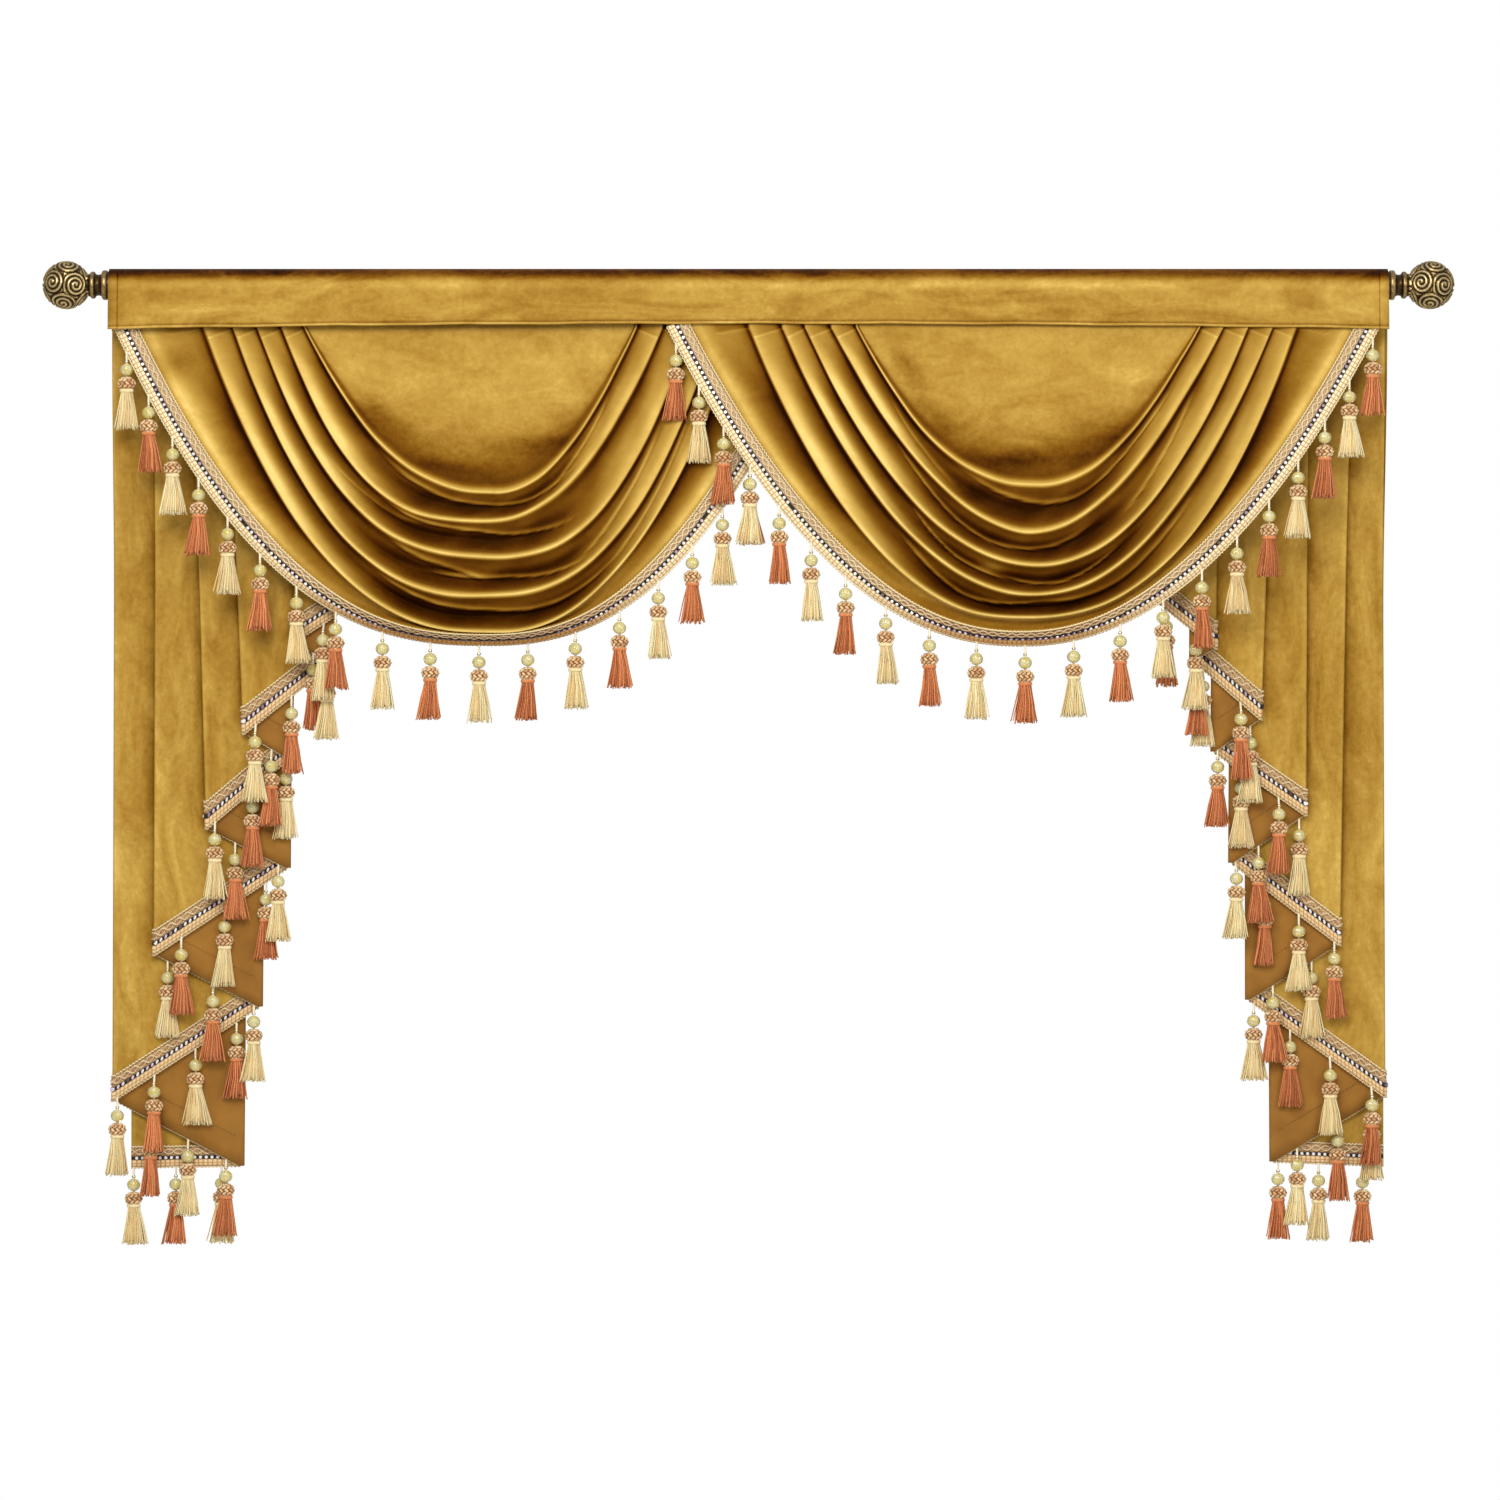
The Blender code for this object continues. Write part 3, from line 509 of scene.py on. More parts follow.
LEFT_SIDE_PAINTED_LIGHT = (
    (0, 1), (0.025, 0.85), (0.055, 0.14), (0.09, -0.04), (0.18, 0.08), (0.32, 0.24), (0.46, 0.4),
    (0.6, 0.6), (0.72, 0.84), (0.84, 0.98), (1, 1),
)
RIGHT_SIDE_PAINTED_LIGHT = (
    (0, 0.86), (0.025, 0.64), (0.055, 0.16), (0.1, 0.06), (0.2, 0.22), (0.34, 0.4), (0.5, 0.58),
    (0.7, 0.68), (0.9, 0.84), (1, 0.86),
)
TOP_PAINTED_LIGHT = (
    (0, 0.84), (0.03, 0.6), (0.065, 0.04), (0.12, 0.16), (0.22, 0.44), (0.4, 0.58), (0.65, 0.64),
    (0.85, 0.72), (1, 0.84),
)
# The flat panel from under the header, -1, to the first crest, and the strip from the
# last crest, 0, to the top of the trim, 1.
PANEL_DEPTH = ((-1, 0), (-0.6, 0.1), (-0.3, 0.16), (-0.12, 0.4), (-0.04, 0.9), (0, 1))
PANEL_PAINTED_LIGHT = (
    (-1, 0.66), (-0.6, 0.68), (-0.36, 0.62), (-0.22, 0.46), (-0.1, 0.26), (-0.035, 0.34), (0, 0.98),
)
PANEL_SIDE_PAINTED_LIGHT = ((-1, 0.66), (-0.6, 0.7), (-0.3, 0.68), (-0.14, 0.55), (-0.06, 0.3), (-0.02, 0.5), (0, 0.9))
STRIP_DEPTH = ((0, 1), (0.05, 0.86), (0.12, 0.5), (0.3, 0.4), (0.7, 0.66), (1, 0.9))
STRIP_PAINTED_LIGHT = ((0, 0.97), (0.12, 0.8), (0.3, 0.56), (0.6, 0.46), (1, 0.4))
STRIP_SIDE_PAINTED_LIGHT = (
    (0, 0.96), (0.02, 0.7), (0.045, 0.04), (0.1, 0.04), (0.22, 0.16), (0.4, 0.34), (0.58, 0.56),
    (0.74, 0.86), (0.87, 0.94), (1, 0.56),
)
STRIP_TOP_PAINTED_LIGHT = (
    (0, 0.86), (0.02, 0.5), (0.045, 0.04), (0.1, 0.3), (0.2, 0.46), (0.45, 0.55), (0.7, 0.66), (0.86, 0.86),
    (1, 0.6),
)

# A crease laid into the folds by hand: after which crest, where its middle is and how
# far it runs to each side (as a share of the half width), how far down towards the next
# crest its ends and its middle lie, how high it stands and how wide it is.
Crease = namedtuple("Crease", "fold middle reach left_at middle_at right_at height width")
LEFT_CREASES = (
    Crease(0, -0.02, 0.55, 0.10, 0.40, 0.80, 0.50, 0.055),
    Crease(1, 0.00, 0.45, 0.08, 0.29, 0.72, 0.50, 0.05),
    Crease(2, 0.10, 0.34, 0.56, 0.51, 0.86, 0.50, 0.05),
    Crease(2, -0.16, 0.20, 0.10, 0.30, 0.58, 0.42, 0.06),
    Crease(3, 0.06, 0.46, 0.14, 0.38, 0.60, 0.50, 0.055),
    Crease(1, -0.42, 0.22, 0.66, 0.42, 0.28, 0.24, 0.06),
    Crease(0, 0.52, 0.20, 0.70, 0.48, 0.20, 0.36, 0.06),
    Crease(2, 0.56, 0.22, 0.76, 0.50, 0.24, 0.36, 0.07),
    Crease(3, 0.62, 0.22, 0.60, 0.40, 0.24, 0.32, 0.08),
)
RIGHT_CREASES = (
    Crease(0, 0.20, 0.60, 0.10, 0.46, 0.30, 0.52, 0.05),
    Crease(1, -0.16, 0.48, 0.10, 0.62, 0.30, 0.50, 0.05),
    Crease(2, -0.26, 0.20, 0.12, 0.56, 0.62, 0.50, 0.05),
    Crease(2, 0.10, 0.24, 0.50, 0.66, 0.34, 0.46, 0.05),
    Crease(3, -0.20, 0.26, 0.20, 0.52, 0.26, 0.50, 0.055),
    Crease(3, 0.30, 0.30, 0.26, 0.44, 0.24, 0.36, 0.07),
    Crease(1, 0.56, 0.22, 0.70, 0.44, 0.20, 0.36, 0.06),
    Crease(0, -0.52, 0.20, 0.30, 0.46, 0.70, 0.26, 0.07),
)

# A patch on the pile: its middle and its two half widths in millimetres, how far it is turned in
# degrees and how much lighter it looks. Some are pile pushed over, some painted light and shade.
Patch = namedtuple("Patch", "x z wide tall turn lighter")
LEFT_PATCHES = (
    Patch(-442, -142, 14, 26, 30, -0.16), Patch(-418, -166, 34, 13, -32, -0.2),
    Patch(-262, -190, 52, 11, 8, -0.2), Patch(-330, -120, 70, 16, -8, 0.05),
    Patch(-226, -92, 30, 14, 20, 0.06), Patch(-322, -341, 26, 7, 4, 0.26),
    Patch(-356, -214, 40, 8, -10, -0.14), Patch(-676, -96, 22, 16, 20, -0.16),
    Patch(-640, -132, 14, 40, 28, 0.1),
)
RIGHT_PATCHES = (
    Patch(190, -104, 13, 36, 32, -0.24), Patch(226, -160, 22, 15, -30, -0.14),
    Patch(442, -104, 34, 10, 0, 0.14), Patch(413, -178, 54, 18, 4, -0.14),
    Patch(330, -204, 60, 10, 3, -0.2), Patch(283, -333, 15, 6, -8, 0.4),
    Patch(300, -66, 90, 9, 0, 0.05), Patch(366, -134, 26, 20, 0, -0.06),
    Patch(684, -120, 18, 44, -30, 0.08), Patch(600, -226, 34, 150, -38, -0.12),
    Patch(250, -120, 60, 60, 0, -0.05), Patch(20, -190, 34, 120, 36, -0.08),
)


def brushed(x, z, patches):
    """How much lighter the pile looks at each place, from a table of patches of pushed pile and of painted
    light and shade.
    """
    lighter = np.zeros_like(x)
    for patch in patches:
        turn = math.radians(patch.turn)
        across, down = x / MM - patch.x, z / MM - patch.z
        wide = (across * math.cos(turn) + down * math.sin(turn)) / patch.wide
        tall = (down * math.cos(turn) - across * math.sin(turn)) / patch.tall
        lighter += patch.lighter * np.exp(-wide * wide - tall * tall)
    return lighter


def through(table, places):
    """A smooth curve through a table's rows, read at places."""
    at, height = np.array(table, dtype=float).T
    slope = np.gradient(height, at)
    row = np.clip(np.searchsorted(at, places, side="right") - 1, 0, len(at) - 2)
    span = at[row + 1] - at[row]
    t = (np.clip(places, at[0], at[-1]) - at[row]) / span
    ends = height[row] * (1 + 2 * t) * (1 - t) ** 2 + height[row + 1] * t * t * (3 - 2 * t)
    return ends + span * t * (1 - t) * (slope[row] * (1 - t) - slope[row + 1] * t)


def fold_between(folds, at):
    """The gather line at a place between the table's rows; under 0 is the flat panel."""
    first = folds[0]
    if at < 0:
        inset = PANEL_INSET * (-at)
        return first._replace(
            left=first.left + inset, right=first.right - inset,
            low=mix(first.low, (first.left + first.right) / 2, -at),
            drop=mix(first.drop, HEADER_SEAM / MM, -at),
        )
    row = min(int(at), len(folds) - 2)
    return Fold(*(mix(one, other, at - row) for one, other in zip(folds[row], folds[row + 1])))


def on_fold(fold, across):
    """x and z on a gather line, from -1 at its left end to 1 at its right end."""
    share = np.abs(across) * (1.22 - 0.22 * across * across)
    end = np.where(across < 0, fold.left, fold.right)
    bow = np.where(across < 0, fold.bow_left, fold.bow_right)
    return mix(fold.low, end, share) * MM, mix(fold.drop * MM, HEADER_SEAM, share ** bow)


def folded(at, across, creases, tables):
    """A fold's profile at one place down the swag, for all the places across it."""
    last = len(LEFT_FOLDS) - 2
    # the middle's profile gives way to the sides', and theirs to the one at the header
    beside = smooth((np.abs(across) - 0.22) / 0.45)
    if at < 0:
        flat = np.full_like(across, at)
        return mix(through(tables.panel, flat), through(tables.panel_side, flat), beside)
    near_top = smooth((np.abs(across) - 0.76) / 0.22)
    if at >= last:
        flat = np.full_like(across, at - last)
        side = mix(through(tables.strip_side, flat), through(tables.strip_top, flat), near_top)
        return mix(through(tables.strip, flat), side, beside)
    number = int(at)
    # each side's trough wanders a little, so that no two folds are alike
    phase = at - number
    phase = phase + 0.06 * waves(across * 4.0, number + 1.3) * math.sin(math.pi * phase)
    phase = np.clip(phase, 0, 1)
    side = np.where(across < 0, through(tables.left, phase), through(tables.right, phase))
    side = mix(side, through(tables.top, phase), near_top)
    height = mix(through(tables.middle, phase), side, beside)
    for crease in creases:
        if crease.fold != number:
            continue
        along = (across - crease.middle) / crease.reach
        end_at = np.where(along < 0, crease.left_at, crease.right_at)
        place = mix(crease.middle_at, end_at, np.minimum(np.abs(along), 1) ** 1.2)
        fade = smooth((1 - np.abs(along)) / 0.45)
        off = (phase - place) / crease.width
        # soft on its upper side, sharp on its lower one, with a groove under it
        off = np.where(off < 0, off * 0.8, off * 1.9)
        ridge = np.exp(-off * off) - 0.3 * np.exp(-((off - 1.9) / 0.9) ** 2)
        height = height + tables.crease * crease.height * fade * ridge
    return height


def painted_pleat_tip_light(at, z):
    """Under the header each pleat's folded end slants from its crest up to the one inside it. Given at,
    how much lighter: a painted highlight along that edge, painted shade on the corner of cloth over it."""
    phase = at - math.floor(at)
    if at < 0.02 or at > 4.6:
        return np.zeros_like(z)
    down = (HEADER_SEAM - z) / MM
    # the folded end reaches from 1.5 mm under the header to 12.5 mm under it
    low = 1.5 + 11 * (phase if phase > 0 else 1)
    corner = smooth((low - down) / 1.5)
    rim = np.exp(-((down - low - 0.6) / 1.0) ** 2)
    return 0.13 * rim * smooth(at / 0.3) - 0.15 * corner * (1 - 0.5 * phase)


def swag_y(folds, sit, fold, pressed, height, across, z):
    """The y of a swag's cloth; its folds stand out more the further they fall."""
    fall = (HEADER_SEAM - z) / (HEADER_SEAM - folds[-1].drop * MM)
    deepen = np.where(across < 0, sit.deepen_left, sit.deepen_right)
    deep = mix(pressed, fold.relief, np.maximum(fall, 0.0) ** deepen) * MM
    return sit.root - sit.forward * smooth(fall / sit.reach) - height * deep


def hem_edge(folds, sit, across):
    """The swag's hem and the top of the strip that the trim is sewn on, as points."""
    hem = folds[-1]
    step = 0.01
    x, z = on_fold(hem, across)
    ahead = np.stack(on_fold(hem, np.minimum(across + step, 1)), -1)
    behind = np.stack(on_fold(hem, np.maximum(across - step, -1)), -1)
    along = ahead - behind
    along /= np.linalg.norm(along, axis=1)[:, None]
    fall = (HEADER_SEAM - z) / (HEADER_SEAM - hem.drop * MM)
    curl = sit.curl * fall ** 3
    y = swag_y(folds, sit, hem, PRESSED_HEM, STRIP_HEIGHT, across, z)
    top_x = x - along[:, 1] * TRIM_WIDTH * np.cos(curl)
    top_z = z + along[:, 0] * TRIM_WIDTH * np.cos(curl)
    return np.stack([x, y + TRIM_WIDTH * np.sin(curl), z], -1), np.stack([top_x, y, top_z], -1)


Tables = namedtuple("Tables", "panel panel_side strip strip_side strip_top middle left right top crease")
DEPTHS = Tables(PANEL_DEPTH, PANEL_DEPTH, STRIP_DEPTH, STRIP_DEPTH, STRIP_DEPTH, MIDDLE_DEPTH, SIDE_DEPTH,
                SIDE_DEPTH, SIDE_DEPTH, 0.7)
# The painted light and shade on the pile, table by table; the last number is how strongly a crease is
# painted, with a painted highlight on its ridge and painted shade under it.
PAINTED_LIGHTS = Tables(PANEL_PAINTED_LIGHT, PANEL_SIDE_PAINTED_LIGHT, STRIP_PAINTED_LIGHT, STRIP_SIDE_PAINTED_LIGHT, STRIP_TOP_PAINTED_LIGHT, MIDDLE_PAINTED_LIGHT,
              LEFT_SIDE_PAINTED_LIGHT, RIGHT_SIDE_PAINTED_LIGHT, TOP_PAINTED_LIGHT, 0.8)
# Rows of mesh down a swag, closest together at the crests.
FOLD_STEPS = (0, 0.02, 0.04, 0.065, 0.09, 0.12, 0.16, 0.2, 0.25, 0.3, 0.35, 0.4, 0.45, 0.5, 0.55, 0.6, 0.66,
              0.72, 0.78, 0.83, 0.87, 0.91, 0.94, 0.97)
PANEL_ROWS = (*np.linspace(-0.95, -0.2, 11), -0.15, -0.11, -0.08, -0.055, -0.035, -0.015)
FOLD_ROWS = (*[number + step for number in range(4) for step in FOLD_STEPS], 4)
STRIP_ROWS = 4 + np.array((0.02, 0.05, 0.08, 0.12, 0.18, 0.26, 0.35, 0.45, 0.55, 0.65, 0.74, 0.82, 0.9))


def build_swag(name, folds, sit, creases, patches):
    """A swag's cloth, in rows from its top edge inside the header down to its hem."""
    across = np.linspace(-1, 1, SWAG_COLUMNS + 1)
    by_header = np.linspace(0.95, 1, 14)
    across = np.unique(np.round([*across, *by_header, *-by_header], 5))
    last = len(folds) - 2
    edge, top = hem_edge(folds, sit, across)
    rows, pile_and_painted_lights = [], []
    for at in np.concatenate([PANEL_ROWS, FOLD_ROWS, STRIP_ROWS]):
        fold = fold_between(folds, at)
        x, z = on_fold(fold, across)
        if at > last:
            x, z = on_fold(folds[last], across)
            x, z = mix(x, top[:, 0], at - last), mix(z, top[:, 2], at - last)
        # no gather line hangs in a perfect curve
        hanging = smooth((HEADER_SEAM - z) / (60 * MM)) * (1 - smooth((at - last) / 0.7))
        z = z + SAG * hanging * waves(across * 7 + 0.8 * at, 2.2)
        pressed = mix(PRESSED_FOLD, PRESSED_HEM, smooth(at - last))
        height = folded(at, across, creases, DEPTHS)
        y = swag_y(folds, sit, fold, pressed, height, across, z)
        fall = np.clip((HEADER_SEAM - z) / (HEADER_SEAM - folds[-1].drop * MM), 0, 1)
        y = y - RIPPLE * waves(across * 9 + at * 2.1, 3.1) * smooth(fall * 6)
        rows.append(np.stack([x, y, z], -1))
        # the pile's tone: painted light and shade over the folds and at the pleat tips, patches, and an
        # uneven tone
        uneven = 0.06 * waves(across * 12 + 1.9 * at, 1.4) * smooth(at / 0.6 + 0.4)
        pile_and_painted_lights.append(folded(at, across, creases, PAINTED_LIGHTS) + brushed(x, z, patches) + painted_pleat_tip_light(at, z) + uneven)
    for share in (0, 0.25, 0.5, 0.75, 1):
        rows.append(mix(top, edge, share))
        pile_and_painted_lights.append(np.full_like(across, 0.55))
    rows, pile_and_painted_lights = np.array(rows), np.array(pile_and_painted_lights)
    # The tuck inside the header: straight up from each line's two ends and from the panel.
    ends = rows[:, [0, -1]].copy()
    ends[..., 1:] = sit.root, TUCK
    rows = np.concatenate([ends[:, :1], rows, ends[:, 1:]], 1)
    pile_and_painted_lights = np.concatenate([pile_and_painted_lights[:, :1], pile_and_painted_lights, pile_and_painted_lights[:, -1:]], 1)
    inset = 3 * MM
    crown = np.linspace(rows[0, 0, 0] + inset, rows[0, -1, 0] - inset, rows.shape[1])
    crown = np.stack([crown, np.full_like(crown, sit.root), np.full_like(crown, TUCK + TUCK_RISE)], -1)
    rows = np.concatenate([crown[None], rows])
    pile_and_painted_lights = np.concatenate([pile_and_painted_lights[:1], pile_and_painted_lights])
    # handling shows on the flat panel and the strip, and little on the folds
    places = np.array([-1, *PANEL_ROWS, *FOLD_ROWS, *STRIP_ROWS, 5, 5, 5, 5, 5])
    rubbed = 1 - 0.7 * smooth((places + 0.2) / 0.2) + 0.3 * smooth(places - 4)
    return make_sheet(name, rows, pile_and_painted_lights, rubbed[:, None], VELVET, [swag_velvet, velvet_back])


swag_velvet = silk_velvet("gold_velvet_swag", 0.09, (12, 20, 26))
left_swag = build_swag("left_swag_velvet", LEFT_FOLDS, LEFT_SIT, LEFT_CREASES, LEFT_PATCHES)
right_swag = build_swag("right_swag_velvet", RIGHT_FOLDS, RIGHT_SIT, RIGHT_CREASES, RIGHT_PATCHES)
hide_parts("left_swag")
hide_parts("right_swag")

# ---------------------------------------------------------------------------------------
# The tails: a cut of velvet with a slanted hem, pleated back and forth, so that the hem
# zigzags down it and shows the pile and the back of the cloth by turns.

TAIL_FRONT = -6.4 * MM         # y of the first leg
TAIL_PRESSED = 1.9 * MM        # from leg to leg inside the header
TAIL_PLEAT = 3.5 * MM          # from the pile side to the back of one pleat, at the hem
TAIL_ROOM = 8 * MM             # from one pleat's back to the next pleat, at the hem
TAIL_OPENS = 330 * MM          # the fall over which the pressed legs come apart

# A leg from its inner edge to its outer one and back, in millimetres: the x where it
# ends, at the header and at the hem, and the height of the hem there.
Leg = namedtuple("Leg", "top_x hem_x hem_z")
LEFT_TAIL = (
    Leg(-474, -474, -381), Leg(-534, -531, -418), Leg(-492, -490, -445), Leg(-612, -592, -526),
    Leg(-530, -541, -556), Leg(-653, -637, -638), Leg(-540, -544, -685), Leg(-697, -700, -787),
    Leg(-572, -578, -849), Leg(-747, -750, -960), Leg(-592, -601, -1038), Leg(-730, -731, -1040),
)
RIGHT_TAIL = (
    Leg(481, 481, -373), Leg(549, 547, -426), Leg(524, 522, -440), Leg(617, 601, -509),
    Leg(552, 548, -548), Leg(657, 655, -622), Leg(574, 570, -679), Leg(708, 696, -775),
    Leg(590, 591, -841), Leg(747, 751, -955), Leg(616, 621, -1033), Leg(752, 752, -1038),
)


def leg_y(leg, z):
    """The y of a leg, counted from 0 at the front; the pleats open as they fall."""
    pressed = TAIL_FRONT + leg * TAIL_PRESSED
    opened = TAIL_FRONT + (leg // 2) * (TAIL_PLEAT + TAIL_ROOM) + (leg % 2) * TAIL_PLEAT
    return mix(pressed, opened, smooth((HEADER_SEAM - z) / TAIL_OPENS))


def tail_column(legs, leg, share, fall, turn=None):
    """Points down a tail: on a leg, or, with turn from 0 to 1, on the fold after it."""
    start, end = legs[leg], legs[leg + 1]
    hem = mix(start.hem_z, end.hem_z, share) * MM
    z = mix(TUCK, hem, fall)
    x = mix(mix(start.top_x, end.top_x, share), mix(start.hem_x, end.hem_x, share), fall) * MM
    y = leg_y(leg, z)
    if turn is not None:
        radius = (leg_y(leg + 1, z) - y) / 2
        x = x + math.copysign(1, end.hem_x - start.hem_x) * radius * math.sin(math.pi * turn)
        y = y + radius * (1 - math.cos(math.pi * turn))
    return np.stack([x, y, z], -1)


def painted_fold_shadow(legs, leg, column):
    """How much painted shadow a leg takes from the fold in front of it, from 0 to about 1."""
    fold = legs[leg - 1]
    fall = (TUCK / MM - column[:, 2] / MM) / (TUCK / MM - fold.hem_z)
    outwards = np.abs(column[:, 0]) / MM - np.abs(mix(fold.top_x, fold.hem_x, fall))
    above_hem = smooth((column[:, 2] / MM - fold.hem_z + 4) / 14)
    outwards = np.maximum(outwards, 0)
    # painted shadow: a dark line beside the fold, and a wide soft shade
    return above_hem * (0.7 * np.exp(-outwards / 3.5) + 0.4 * np.exp(-outwards / 14))


def build_tail(name, legs):
    """A tail's cloth, in columns along its legs and round the folds between them."""
    falls = np.linspace(0, 1, 56)
    columns, pile_and_painted_lights = [], []
    for leg in range(len(legs) - 1):
        span = abs(legs[leg + 1].hem_x - legs[leg].hem_x)
        shares = np.linspace(0, 1, max(int(span / 5.5), 5))
        if leg >= 2 and leg % 2 == 0:
            # closer together where the fold in front ends
            behind = abs(legs[leg - 1].hem_x - legs[leg].hem_x) / span
            near = behind + np.array((-2.0, 0.5, 2.0, 4.0)) / span
            shares = np.unique(np.concatenate([shares, near[near < 1]]))
        for share in shares:
            column = tail_column(legs, leg, share, falls)
            lie = 0.66 + 0.05 * waves(falls * 7 + share * 2, leg + 0.5)
            # a painted highlight along a front leg's outer fold, and painted shadow from the fold in front
            if leg % 2 == 0:
                lie = lie + 0.07 * math.exp(-((1 - share) * span / 2.5) ** 2)
            if leg % 2 == 0 and leg >= 2:
                lie = lie - 0.4 * painted_fold_shadow(legs, leg, column)
            # the cloth swells a little between its pressed folds
            swell = 0.7 * waves(falls * 9 + leg, 1.9) * math.sin(math.pi * share)
            column[:, 1] += swell * MM * smooth(falls * 3)
            columns.append(column)
            pile_and_painted_lights.append(lie)
        if leg < len(legs) - 2:
            for turn in (0.2, 0.4, 0.6, 0.8):
                columns.append(tail_column(legs, leg, 1, falls, turn))
                pile_and_painted_lights.append(np.full_like(falls, 0.66))
    points = np.array(columns).transpose(1, 0, 2)
    pile_and_painted_lights = np.array(pile_and_painted_lights).T
    if legs[-1].hem_x < 0:
        points, pile_and_painted_lights = points[:, ::-1], pile_and_painted_lights[:, ::-1]
    return make_sheet(name, points, pile_and_painted_lights, 1.0, VELVET, [tail_velvet, velvet_back])


tail_velvet = silk_velvet("gold_velvet_tail", 0.13, (26, 20, 9))
left_tail = build_tail("left_tail_velvet", LEFT_TAIL)
right_tail = build_tail("right_tail_velvet", RIGHT_TAIL)
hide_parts("left_tail")
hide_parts("right_tail")

# The hem's own stitching, which shows on the legs that turn their back to the room.
HEM_DEEP = 29 * MM
STITCH_OUT = 0.7 * MM          # how far the stitches lie over the cloth
for name, legs in (("left_tail_hem_stitches", LEFT_TAIL), ("right_tail_hem_stitches", RIGHT_TAIL)):
    rows = []
    for leg in range(1, len(legs) - 1, 2):
        start, end = legs[leg], legs[leg + 1]
        rise = HEM_DEEP * math.hypot(1, (end.hem_z - start.hem_z) / (end.hem_x - start.hem_x))
        line = []
        for share in np.linspace(0.03, 0.97, 30):
            drop = TUCK - mix(start.hem_z, end.hem_z, share) * MM
            line.append(tail_column(legs, leg, share, np.array(1 - rise / drop)))
        rows.append(stitch_row(np.array(line) - (VELVET / 2 + STITCH_OUT) * TO_WALL, -TO_WALL))
    make_piece(name, rows, [stitch_thread])

# ---------------------------------------------------------------------------------------
# The braid: a woven tape, 23 mm wide, sewn flat along each hem on the pile side. Cream
# blocks run along its outer half and crossed threads along its inner one, with a chain
# of set crystals between them and small thread loops on both edges.

UNDER_TRIM = 1.05 * MM         # from the middle of the velvet to the trim
TRIM_THICK = 1.8 * MM
TAPE_THICK = 1.0 * MM
LOOP_PITCH = 4.4 * MM
LOOP_LIFT = 0.95 * MM          # from the tape's underside to the loops' middle
THREAD_RADIUS = 1.2 * MM       # of loops and crossed threads, each a bundle of strands
BLOCK_PITCH = 5.6 * MM         # the woven blocks: along the braid and across it
ROW_PITCH = 4.2 * MM
OVAL_PITCH = 11.4 * MM
CRYSTAL_PITCH = 6.85 * MM
CRYSTAL_ROW = 0.46             # the crystals' place across the braid, from its outer edge
CROSS_ROW = 0.77               # the same for the crossed threads
CROSS_SWING = 0.13             # how far they swing to each side of that

# A braid's track: stations by length, each with its lower edge, upper edge and outward
# direction, and the least painted shade it takes.
Track = namedtuple("Track", "length edge top out shaded")


def make_track(edge, top, out, shaded=0.0):
    """A track from the points along a hem and along the top of its trim."""
    steps = np.linalg.norm(np.diff(edge, axis=0), axis=1)
    out = out / np.linalg.norm(out, axis=1)[:, None]
    return Track(np.concatenate([[0], np.cumsum(steps)]), edge, top, out, shaded)


def on_track(track, along, across, height):
    """Points of a braid: along it and over the velvet in metres, across it from 0 to 1."""
    along, across, height = np.broadcast_arrays(along, across, height)
    read = [
        np.stack([np.interp(along, track.length, values[:, axis]) for axis in range(3)], -1)
        for values in (track.edge, track.top, track.out)
    ]
    edge, top, out = read
    return edge + (top - edge) * across[..., None] + out * (UNDER_TRIM + height)[..., None]


def thread(track, along, across, height, slot, marks):
    """A thread laid on a braid."""
    around = np.arange(3) * 2 * math.pi / 3
    wide = across[:, None] + THREAD_RADIUS / TRIM_WIDTH * np.cos(around)
    high = height[:, None] + THREAD_RADIUS * np.sin(around)
    return loft(on_track(track, along[:, None], wide, high), slot, marks=marks)


